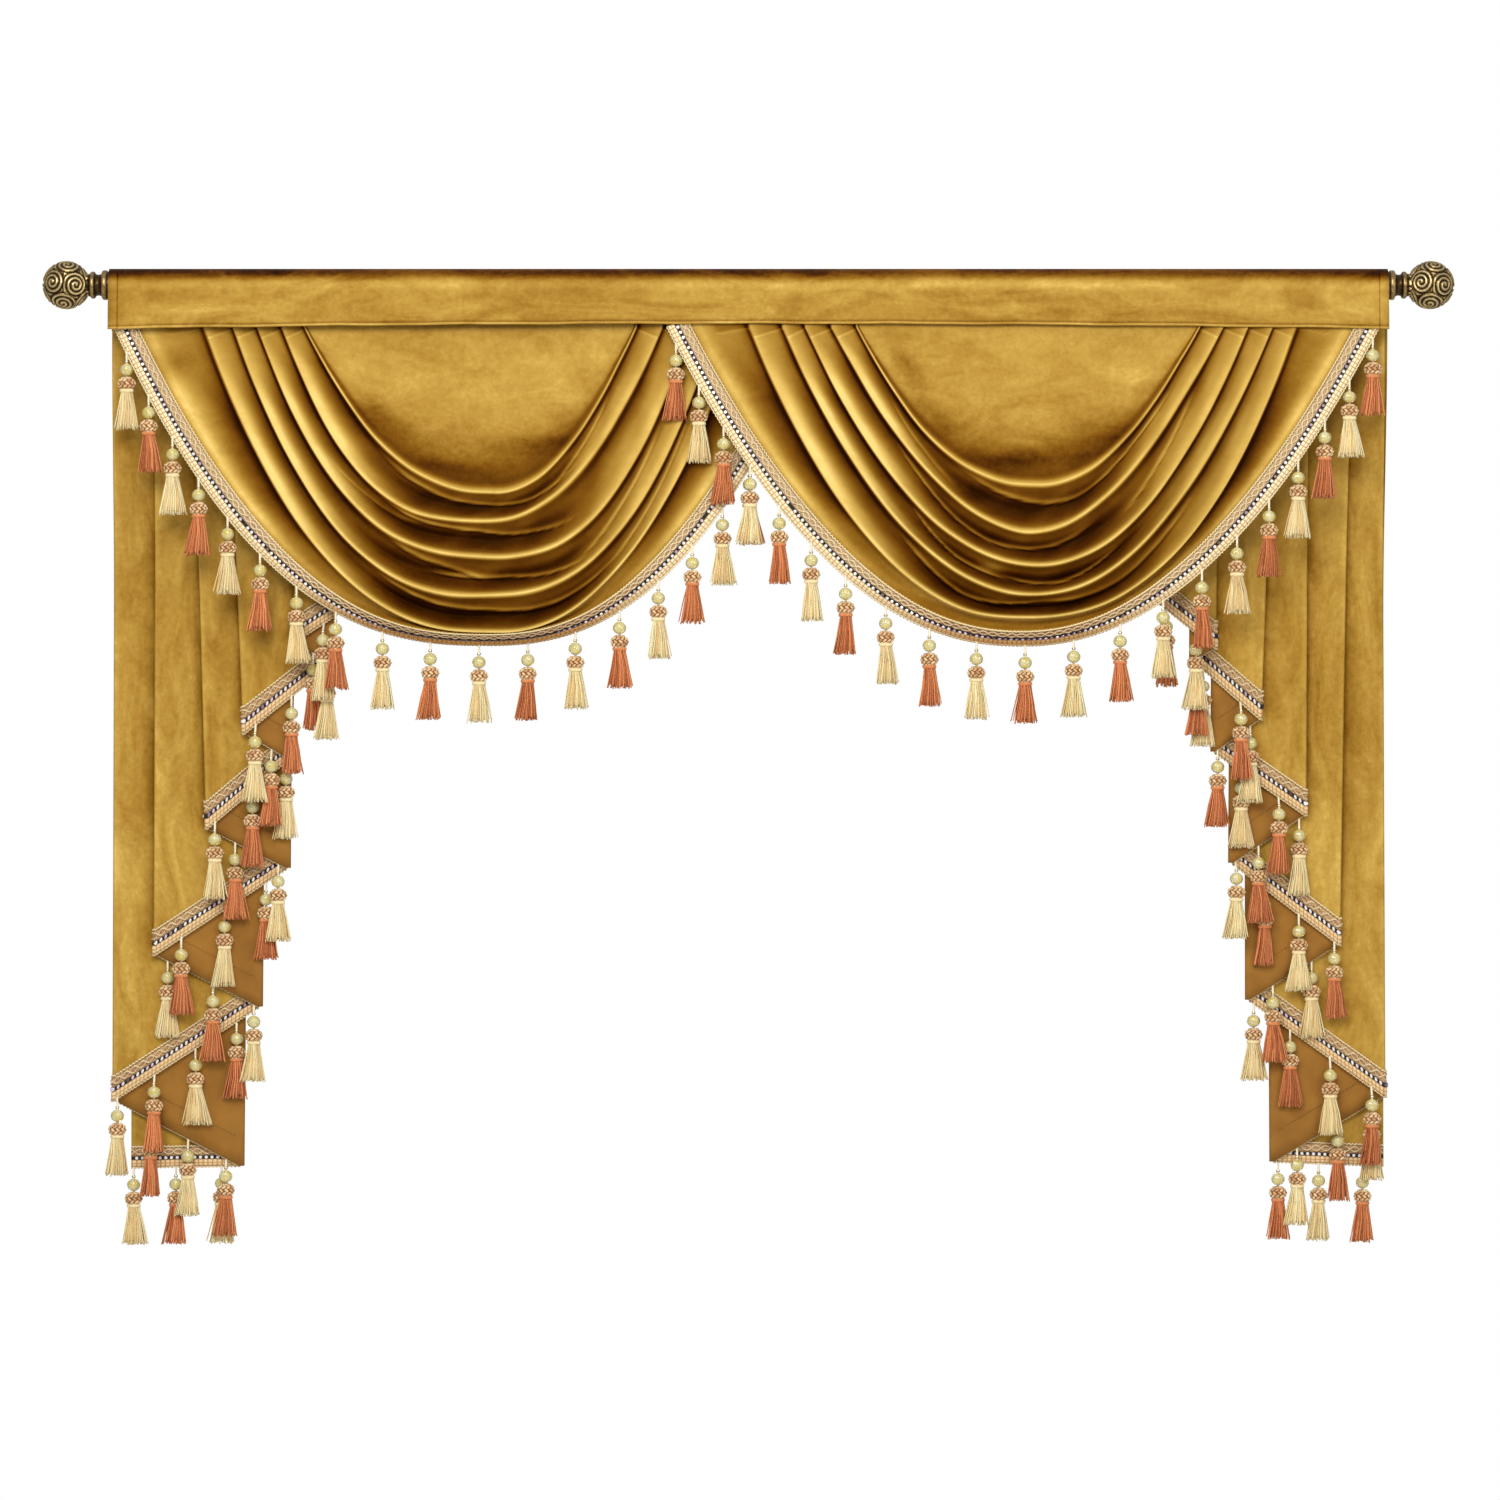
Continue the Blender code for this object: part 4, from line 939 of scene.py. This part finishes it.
def braid_shapes(track, start, end, rng):
    """The tape, its loops, its crossed threads and its crystals from start to end."""
    shapes = []

    def under(places):
        """How much a braid turns its face down at each place, and so how much painted shade it takes."""
        return smooth((-np.interp(places, track.length, track.out[:, 2]) - 0.3) / 0.6)

    def thread_marks(places, darker):
        """A thread's tone along a braid: bright, and darker by this much where painted shade falls on it."""
        marks = np.zeros((1, len(places), 1, 3))
        marks[0, :, 0, 2] = 0.8 - darker * np.maximum(under(places), track.shaded)
        return marks

    along = np.linspace(start, end, max(int((end - start) / (BLOCK_PITCH / 4)), 3))
    across = np.linspace(0.02, 0.98, 9)
    rungs = np.abs(np.sin(math.pi * along / BLOCK_PITCH))[:, None]
    rungs = rungs * np.abs(np.sin(math.pi * across * TRIM_WIDTH / ROW_PITCH))
    outer = (across < CRYSTAL_ROW - 0.12)[None]
    relief = TAPE_THICK + np.where(outer, 0.9 * rungs, 0.3 * rungs - 0.3) * MM
    front = on_track(track, along[:, None], across[None], relief)
    back = on_track(track, along[:, None], np.array((0.98, 0.02))[None], 0.05 * MM)
    rings = np.concatenate([front, back], 1)
    marks = np.zeros(rings.shape)
    marks[..., 0] = along[:, None] / MM
    marks[..., 1] = np.concatenate([across, (0.98, 0.02)]) * TRIM_WIDTH / MM
    marks[..., 2] = np.maximum(under(along), track.shaded)[:, None]
    shapes.append(loft(rings, TAPE, marks=marks[None]))
    # thread loops along both edges
    loops = np.linspace(start, end, max(int((end - start) / (LOOP_PITCH / 3)), 4))
    swing = np.abs(np.sin(math.pi * loops / LOOP_PITCH)) ** 0.7
    for rim, outward, darker in ((0.0, -0.08, 0.5), (1.0, 0.07, 0.0)):
        place = rim + outward * (swing - 0.2)
        lift = np.full_like(loops, LOOP_LIFT)
        shapes.append(thread(track, loops, place, lift, CREAM, thread_marks(loops, darker)))
    # two threads that cross over the inner half
    run = np.linspace(start, end, max(int((end - start) / (OVAL_PITCH / 5)), 4))
    angle = math.pi * run / OVAL_PITCH
    for phase in (0, math.pi):
        place = CROSS_ROW + CROSS_SWING * np.sin(angle + phase)
        lift = TAPE_THICK + (0.4 + 0.25 * np.cos(2 * angle + phase)) * MM
        shapes.append(thread(track, run, place, lift, ROSE, thread_marks(run, 0.25)))
    # the crystals in their cups
    first = math.ceil((start + 0.4 * CRYSTAL_PITCH) / CRYSTAL_PITCH)
    places = np.arange(first, (end - 0.4 * CRYSTAL_PITCH) / CRYSTAL_PITCH) * CRYSTAL_PITCH
    if len(places):
        around = np.arange(8) * math.pi / 4
        for profile, slot, flat in (
            (((2.8, 1.0), (2.3, 1.9)), CUP, False),
            (((2.1, 1.5), (2.05, 2.1), (1.2, 3.0)), CRYSTAL, True),
        ):
            rings = []
            for radius, height in profile:
                ring_along = places[:, None] + radius * MM * np.cos(around)
                ring_across = CRYSTAL_ROW + radius * MM / TRIM_WIDTH * np.sin(around)
                rings.append(on_track(track, ring_along, ring_across, height * MM))
            # each stone's painted glint, set at random and dimmed by painted shade where the braid turns its
            # face down
            painted_glint = rng.random(len(places)) * (1 - under(places))
            painted_glint = painted_glint[:, None, None, None] * np.ones((1, len(profile), 8, 1))
            marks = np.concatenate([np.zeros((len(places), len(profile), 8, 2)), painted_glint], -1)
            shapes.append(loft(np.stack(rings, 1), slot, flat=flat, marks=marks))
    return shapes


TAPE, CREAM, ROSE, CUP, CRYSTAL = range(5)

# Woven cotton and rayon tape: matt cream blocks on the outer side, a speckled tan ground
# under the crossed threads on the inner one. The weave is 0.5 mm, drawn at 0.9 mm.
tape, tape_surface = start_material("woven_trim_tape", {"Roughness": 0.75})
spot = add_node(tape, "Attribute", out="Vector", attribute_name="mark")
weave = add_node(tape, "TexNoise", {"Vector": spot, "Scale": 1.1, "Detail": 2.0})
rows = []
for axis, pitch in (("X", BLOCK_PITCH), ("Y", ROW_PITCH)):
    turn = add_node(tape, "SeparateXYZ", {"Vector": spot}, out=axis)
    turn = add_node(tape, "Math", {0: turn, 1: math.pi * MM / pitch}, operation="MULTIPLY")
    turn = add_node(tape, "Math", {0: turn}, operation="SINE")
    rows.append(add_node(tape, "Math", {0: turn}, operation="ABSOLUTE"))
blocks = add_node(tape, "Math", {0: rows[0], 1: rows[1]}, operation="MINIMUM")
colour = add_node(tape, "ValToRGB", {"Fac": blocks}, [
    (0.1, "#C49058"), (0.3, "#E8C48E"), (0.5, "#FAE4B4"), (1.0, "#FFF4CE")])
# The dark band under the crystals and the tan half: where each starts across the braid,
# in millimetres, and its two tones.
across = add_node(tape, "SeparateXYZ", {"Vector": spot}, out="Y")
for start, tones in (
    (7.9, [(0.3, "#140F0C"), (0.7, "#30251C")]),
    (12.4, [(0.35, "#7A5832"), (0.65, "#F0D09C")]),
):
    share = add_node(tape, "MapRange", {"Value": across, "From Min": start, "From Max": start + 1})
    ground = add_node(tape, "ValToRGB", {"Fac": weave}, tones)
    colour = add_node(tape, "Mix", {0: share, 6: colour, 7: ground}, out=2, data_type="RGBA")
# painted shade: where the braid turns its face down, and all along the tails' braids, its colour is
# multiplied towards warm brown
shaded = add_node(tape, "Mix", {0: 1.0, 6: colour, 7: linear("#D0A460")}, out=2,
                  data_type="RGBA", blend_type="MULTIPLY")
in_shade = add_node(tape, "SeparateXYZ", {"Vector": spot}, out="Z")
set_inputs(tape_surface, {
    "Base Color": add_node(tape, "Mix", {0: in_shade, 6: colour, 7: shaded}, out=2, data_type="RGBA"),
    "Normal": add_node(tape, "Bump", {"Height": blocks, "Strength": 0.5, "Distance": 0.0006}),
})


def spun_thread(name, dark, light, roughness):
    """Rayon thread: a silky low sheen, its colour uneven from strand to strand. Its twist
    is under 1 mm, drawn at 1.9 mm."""
    material, surface = start_material(name, {
        "Roughness": roughness, "Specular IOR Level": 0.25, "Specular Tint": linear(light),
        "Sheen Weight": 0.08, "Sheen Tint": linear(light)})
    where = add_node(material, "TexCoord", out="Object")
    spot = add_node(material, "Attribute", out="Vector", attribute_name="mark")
    strand = add_node(material, "SeparateXYZ", {"Vector": spot}, out="Z")
    twist = add_node(material, "TexNoise", {"Vector": where, "Scale": 520.0, "Detail": 2.0})
    twist = add_node(material, "MapRange", {"Value": twist, "To Min": -0.35, "To Max": 0.35})
    tone = add_node(material, "Math", {0: strand, 1: twist}, operation="ADD")
    colour = add_node(material, "ValToRGB", {"Fac": tone}, [(0.0, dark), (1.0, light)])
    set_inputs(surface, {"Base Color": colour})
    return material


cream_thread = spun_thread("cream_rayon_thread", "#A87440", "#FFECB8", 0.5)
rose_thread = spun_thread("rose_rayon_thread", "#986038", "#FFE8BC", 0.5)

# The cups that hold the crystals: plated brass gone brown-black, with a soft gloss, some
# cups darker than others.
cup_plating = clouded("plated_crystal_cups", 160.0, 2.0, [(0.3, "#181210"), (0.75, "#4E423E")],
                      {"Metallic": 0.7, "Roughness": 0.35})

# Foil-backed cut glass. Each stone's colour is a painted glint, set at random to white or pale violet, and
# dull for a few.
foil, glass_face = start_material("foil_backed_crystal", {
    "Metallic": 0.15, "Roughness": 0.1, "Coat Weight": 1.0, "Coat Roughness": 0.03})
spot = add_node(foil, "Attribute", out="Vector", attribute_name="mark")
painted_glint = add_node(foil, "SeparateXYZ", {"Vector": spot}, out="Z")
set_inputs(glass_face, {"Base Color": add_node(foil, "ValToRGB", {"Fac": painted_glint}, [
    (0.0, "#5A4036"), (0.05, "#947C98"), (0.14, "#E8D4EC"), (0.3, "#FFFAFC"), (1.0, "#FFFFFF")])})

BRAID_MATERIALS = [tape, cream_thread, rose_thread, cup_plating, foil]
TRIM_LENGTHS = 5               # a swag's trim is sewn on in so many lengths
JOIN = 0.1 * MM                # between one length and the next
CAD_COLUMNS = 24               # the frame's trims part at one of so many even stations


def swag_tracks(name, folds, sit):
    """A swag's trim as (node, track, start, end): one track, parted into its lengths."""
    across = np.linspace(-1, 1, 481)
    edge, top = hem_edge(folds, sit, across)
    out = np.cross(np.gradient(edge, axis=0), top - edge)
    track = make_track(edge, top, out)
    rows = []
    for part in range(TRIM_LENGTHS):
        ends = np.round(np.array((part, part + 1)) * CAD_COLUMNS / TRIM_LENGTHS) / CAD_COLUMNS * 2 - 1
        start, end = np.interp(ends, across, track.length)
        rows.append((f"{name}_{part + 1}", track, start + JOIN / 2, end - JOIN / 2))
    return rows


TAIL_SHADE = 0.45              # painted shade and painted yellow light from the pile, on a tail's braid


def tail_tracks(name, legs):
    """A tail's trim: for each pleat, along its pile side, round the fold and along its back."""
    rows = []
    for pleat in range(0, len(legs) - 1, 2):
        edges, tops, outs = [], [], []
        for leg in range(pleat, min(pleat + 2, len(legs) - 1)):
            start, end = legs[leg], legs[leg + 1]
            slope = (end.hem_z - start.hem_z) / abs(end.hem_x - start.hem_x)
            rise = TRIM_WIDTH * math.sqrt(1 + slope * slope)
            facing = -1 if leg == pleat else 1
            places = [(share, None, (0, facing, 0)) for share in np.linspace(0, 1, 30)]
            if leg == pleat and leg < len(legs) - 2:
                side = math.copysign(1, end.hem_x - start.hem_x)
                for turn in np.linspace(0, 1, 9)[1:-1]:
                    angle = math.pi * turn
                    places.append((1, turn, (side * math.sin(angle), -math.cos(angle), 0)))
            for share, turn, out in places:
                edge = tail_column(legs, leg, share, np.array(1.0), turn)
                edges.append(edge)
                tops.append(tail_column(legs, leg, share, 1 - rise / (TUCK - edge[2]), turn))
                outs.append(out)
        track = make_track(np.array(edges), np.array(tops), np.array(outs, dtype=float), TAIL_SHADE)
        rows.append((f"{name}_{pleat // 2 + 1}", track, 0.0, track.length[-1]))
    return rows


rng = np.random.default_rng(7)
tracks = swag_tracks("left_swag_trim", LEFT_FOLDS, LEFT_SIT)
tracks += swag_tracks("right_swag_trim", RIGHT_FOLDS, RIGHT_SIT)
tracks += tail_tracks("left_tail_trim", LEFT_TAIL) + tail_tracks("right_tail_trim", RIGHT_TAIL)
for node, track, start, end in tracks:
    braid = make_piece(node + "_braid", braid_shapes(track, start, end, rng), BRAID_MATERIALS)
    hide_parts(node)

# ---------------------------------------------------------------------------------------
# The tassels: a cord off the braid's lower edge with a metal seed bead and a fluted glass
# bead on it, then a head knotted over a mould, and a bound skirt of cut rayon. They are
# cream and rust by turns.

BEAD_DROP = 21 * MM            # from a tassel's root to its glass bead's middle
BEAD_RING = (7.2, 5.0)         # that bead's half width and half thickness in the frame
BEAD_RADIUS = 7.3              # and its radius here, to the middle of its flutes
SEED_DROP = 11.4 * MM
CORD_DROP = 31 * MM
CORD_WAIST = 12 * MM           # where the cord has come plumb under the hem
CORD_RADIUS = 1.4 * MM
HEAD_DROP = 37.2 * MM
HEAD_HALF = (9.4, 9.4, 7.2)    # the knotted head's half sizes, before it is flattened
SKIRT_TOP = 45 * MM
SKIRT_DROP = 90 * MM
SKIRT_NECK = (6.3, 4.2)        # a skirt's half width and half depth under its collar
SKIRT_HEM = (14.8, 5.4)        # the same at its cut end
STRANDS = 74
EVEN_TURN = 2.39996            # the golden angle, which spreads strands evenly
FLATTENED = 0.82               # how thick heads and beads are, as a share of their width
FLUTE = 0.09                   # how deep a fluted bead is cut, as a share of its radius


def hanging_points(node):
    """Where the frame's tassels hang: only a bead's four corners lie at these distances."""
    points = np.unique(np.round([tuple(v.co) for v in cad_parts[node].data.vertices], 6), axis=0)
    wide, deep = (2 * half * MM for half in BEAD_RING)
    found = []
    for point in points:
        beside = np.linalg.norm(points - point - wide * ALONG_X, axis=1).min()
        behind = np.linalg.norm(points - point - deep * TO_WALL, axis=1).min()
        if max(beside, behind) < 0.02 * MM:
            found.append(point + (wide / 2, deep / 2, BEAD_DROP))
    return found


def turned(profile, centre, sides, slot, flutes=0, marks=(0.0, 0.0, 0.5), squash=FLATTENED):
    """A bead or mould: rings of (radius, height) round a centre, in millimetres."""
    around = np.arange(sides) * 2 * math.pi / sides
    fluting = 1 + (FLUTE if flutes else 0) * np.cos(flutes * around)[:, None]
    circle = ring(sides, ALONG_X, squash * TO_WALL) * fluting
    rings = [(radius * circle + height * UP) * MM + centre for radius, height in profile]
    return loft(rings, slot, marks=marks)


def knotted_head(centre, rng):
    """Short rope-like stitches that lean left and right by turns, over a round mould."""
    rows, per_row = 5, 9
    # in radians: the outermost rows' tilt, the stitches' lean and half their length
    top_tilt, lean_by, half_long = 1.05, 0.42, 0.27
    row, number = np.divmod(np.arange(rows * per_row), per_row)
    tilt = mix(-top_tilt, top_tilt, row / (rows - 1))[:, None]
    lean = np.where(row % 2, lean_by, -lean_by)[:, None]
    turn = (2 * math.pi * (number + 0.5 * (row % 2)) / per_row)[:, None]
    step = np.array((-1.0, -0.45, 0.45, 1.0))
    lat = tilt + half_long * step
    lon = turn + lean * step / np.maximum(np.cos(tilt), 0.5) * 0.62
    normal = np.stack([np.cos(lat) * np.cos(lon), np.cos(lat) * np.sin(lon), np.sin(lat)], -1)
    place = normal * HEAD_HALF * (1.0 + 0.05 * (1 - step * step))[:, None]
    run = place[:, -1] - place[:, 0]
    run /= np.linalg.norm(run, axis=1)[:, None]
    side = np.cross(run[:, None], normal)
    radius = np.where(np.abs(step) == 1, 0.4, 1.6)[:, None, None]
    rings = place[:, :, None] + radius * ring(4, side[:, :, None], 0.8 * normal[:, :, None])
    shade = (0.36 + 0.64 * rng.random(len(row)))[:, None, None, None]
    # the mould shows between the stitches in the darkest tone: painted shade between them
    mould = [(0.6, -7.0), (5.6, -5.9), (8.5, -2.7), (8.5, 2.7), (5.6, 5.9), (0.6, 7.0)]
    return [
        loft(rings * (1, FLATTENED, 1) * MM + centre, KNOT, marks=np.broadcast_to(shade, rings.shape)),
        turned(mould, centre, 12, KNOT, marks=(0, 0, -0.3)),
    ]


def skirt(top, slot, rng):
    """A bundle of cut strands that spreads downwards, each a little off its neighbours."""
    # the rust skirts hang a little narrower than the cream ones
    spread = rng.uniform(0.9, 1.12) * (1 if slot == CREAM_SKIRT else 0.93)
    lean = rng.uniform(-2.2, 2.2)
    drop = (SKIRT_DROP - SKIRT_TOP) / MM
    turn = EVEN_TURN * np.arange(STRANDS) + rng.uniform(0, 6)
    out = np.sqrt((np.arange(STRANDS) + 0.5) / STRANDS)
    across, deep = out * np.cos(turn), out * np.sin(turn)
    wander = rng.normal(0, 1, (2, STRANDS))
    # cut by hand: each strand is a little longer or shorter than the skirt
    ends = rng.uniform(-2.6, 2.2, STRANDS) - 1.2 * (1 - out)
    steps = np.array((0, 0.45, 0.94, 1.0))
    open_up = steps ** 0.92
    hem_x = SKIRT_HEM[0] * spread * across + lean + 1.1 * wander[0]
    hem_y = SKIRT_HEM[1] * deep - 0.6 + 0.4 * wander[1]
    x = mix((SKIRT_NECK[0] * across)[:, None], hem_x[:, None], open_up)
    x = x + 0.8 * np.sin(7 * steps + turn[:, None])
    y = mix((SKIRT_NECK[1] * deep)[:, None], hem_y[:, None], open_up)
    middle = np.stack([x, y, -steps * (drop + ends[:, None])], -1)
    rings = middle[:, :, None] + mix(0.95, 0.85, steps)[:, None, None] * ring(3, ALONG_X, TO_WALL)
    shade = rng.uniform(0.3, 1.0, STRANDS)[:, None, None, None]
    # a solid core for the inner strands, in a darker tone: painted shade among the strands
    core = [(5.8, 0.5), (6.5, -8), (9.6 * spread, -24), (12 * spread, -drop + 4)]
    return [
        loft(rings * MM + top, slot, marks=np.broadcast_to(shade, rings.shape)),
        turned(core, top, 10, slot, squash=0.42, marks=(0, 0, 0.4)),
    ]


def tassel(root, hang, rust, rng):
    """One tassel from its root on the braid, hanging at a point straight under the hem."""
    waist = hang - UP * CORD_WAIST
    line = [root, mix(root, waist, 0.35), mix(root, waist, 0.7), waist, hang - UP * CORD_DROP]
    cord = [point + ring(5, ALONG_X, TO_WALL) * CORD_RADIUS for point in line]
    # the bead's bore is wrapped with the same thread as the cord
    sleeve = [(1.2, 6.4), (2.2, 5.2), (2.3, 0), (2.2, -5.2), (1.2, -6.4)]
    seed = [(1.2, 1.9), (2.2, 1.0), (2.2, -1.0), (1.2, -1.9)]
    angles = np.linspace(0.2, math.pi - 0.2, 8)
    bead = [(BEAD_RADIUS * math.sin(angle), BEAD_RADIUS * math.cos(angle)) for angle in angles]
    collar = [(6.4, 2.4), (8.0, 1.2), (8.4, -0.6), (7.8, -2.4)]
    slot = RUST_SKIRT if rust else CREAM_SKIRT
    return [
        loft(cord, CORD, marks=(0, 0, 0.8)),
        turned(sleeve, hang - UP * BEAD_DROP, 10, CORD, marks=(0, 0, 1)),
        turned(seed, hang - UP * SEED_DROP, 8, SEED),
        turned(bead, hang - UP * BEAD_DROP, 24, GLASS, flutes=8),
        *knotted_head(hang - UP * HEAD_DROP, rng),
        turned(collar, hang - UP * SKIRT_TOP, 14, slot, squash=0.6, marks=(0, 0, 0.7)),
        *skirt(hang - UP * (SKIRT_TOP + 0.5 * MM), slot, rng),
    ]


CORD, SEED, GLASS, KNOT, CREAM_SKIRT, RUST_SKIRT = range(6)
cord_thread = spun_thread("tassel_cord", "#D8C490", "#FFF6DC", 0.6)
knot_thread = spun_thread("knotted_head_thread", "#A4602C", "#F8DCAC", 0.55)
cream_skirt = spun_thread("cream_skirt_rayon", "#DCAC60", "#FFF4C4", 0.42)
rust_skirt = spun_thread("rust_skirt_rayon", "#84361A", "#F4A06A", 0.42)

# Silver-lined seed beads: bright champagne metal.
seed_metal = clouded("champagne_seed_bead", 300.0, 2.0, [(0.3, "#CDBB8C"), (0.7, "#FFF4D4")],
                     {"Metallic": 0.9, "Roughness": 0.22})

# Pressed glass: pale yellow and clear, a little cloudy inside, with a wet gloss.
pressed_glass = clouded("pressed_citrine_glass", 190.0, 1.0, [(0.3, "#F8E274"), (0.7, "#FFFBD0")],
                        {"Roughness": 0.06, "IOR": 1.5, "Transmission Weight": 0.45, "Coat Weight": 0.6})

TASSEL_MATERIALS = [cord_thread, seed_metal, pressed_glass, knot_thread, cream_skirt, rust_skirt]

# Each hem's tassels in order along it; the first one is rust on the right-hand pieces.
HEMS = (
    ("left_swag_trim", 5, lambda place: place[0], False),
    ("right_swag_trim", 5, lambda place: place[0], True),
    ("left_tail_trim", 6, lambda place: -place[2], False),
    ("right_tail_trim", 6, lambda place: -place[2], True),
)
track_of = {node: track for node, track, start, end in tracks}
for hem, lengths, order, rust_first in HEMS:
    nodes = [f"{hem}_{number + 1}" for number in range(lengths)]
    places = [(place, node) for node in nodes for place in hanging_points(node)]
    places.sort(key=lambda pair: order(pair[0]))
    shapes = {node: [] for node in nodes}
    for number, (place, node) in enumerate(places):
        track = track_of[node]
        away = np.linalg.norm(track.edge - place, axis=1)
        nearest = int(away.argmin())
        root = track.edge[nearest] + track.out[nearest] * (UNDER_TRIM + TRIM_THICK / 2)
        root[0] = place[0]
        shapes[node] += tassel(root, place, (number % 2 == 0) == rust_first, rng)
    for node in nodes:
        if shapes[node]:
            make_piece(node + "_tassels", shapes[node], TASSEL_MATERIALS)

# ---------------------------------------------------------------------------------------
# The studio: a pale floor under the drape, a white surround, one large soft light from
# above the camera's left and a weaker one from the right.

FLOOR_Z = -2.1
floor_mesh = bpy.data.meshes.new("studio_floor")
floor_mesh.from_pydata([(-7, -10, FLOOR_Z), (7, -10, FLOOR_Z), (7, 4.5, FLOOR_Z), (-7, 4.5, FLOOR_Z)], [],
                       [(0, 1, 2, 3)])
floor = bpy.data.objects.new("studio_floor", floor_mesh)
bpy.context.scene.collection.objects.link(floor)
paint, _ = start_material("matt_studio_paint", {"Roughness": 0.9, "Base Color": linear("#EFEDE9")})
floor_mesh.materials.append(paint)

world = bpy.data.worlds.new("white_surround")
bpy.context.scene.world = world
world.use_nodes = True
surround = world.node_tree.nodes["Background"]
# The surround lights the drape more from above than from below.
from_where = add_node(world, "TexCoord", out="Generated")
height = add_node(world, "SeparateXYZ", {"Vector": from_where}, out="Z")
glow = add_node(world, "MapRange", {"Value": height, "From Min": -1.0, "To Min": 0.1, "To Max": 0.6})
seen = add_node(world, "LightPath", out="Is Camera Ray")
level = add_node(world, "MapRange", {"Value": seen, "To Min": glow})
set_inputs(surround, {"Color": (1, 1, 1, 1), "Strength": level})


def add_light(name, place, target, size, power):
    """A soft light: a lit panel, in metres and watts, that faces its target."""
    lamp = bpy.data.lights.new(name, "AREA")
    lamp.shape = "RECTANGLE"
    lamp.size, lamp.size_y = size
    lamp.energy = power
    thing = bpy.data.objects.new(name, lamp)
    thing.location = place
    direction = Vector(target) - Vector(place)
    thing.rotation_euler = direction.to_track_quat("-Z", "Y").to_euler()
    bpy.context.scene.collection.objects.link(thing)


add_light("key_light", (-0.6, -3.2, 1.3), (0, 0, -0.5), (2.4, 1.5), 88)
add_light("fill_light", (2.2, -2.8, 0.2), (0.1, 0, -0.5), (1.2, 1.6), 22)

# The camera stands straight in front, 6 m off, where its view is 1.76 m wide.
camera = bpy.data.cameras.new("camera")
camera.sensor_width = 36
camera.lens = 122.6
camera_object = bpy.data.objects.new("camera", camera)
camera_object.location = (0.0018, -6.0, -0.546)
camera_object.rotation_euler = (math.pi / 2, 0, 0)
bpy.context.scene.collection.objects.link(camera_object)
bpy.context.scene.camera = camera_object
bpy.context.scene.view_settings.view_transform = "Standard"
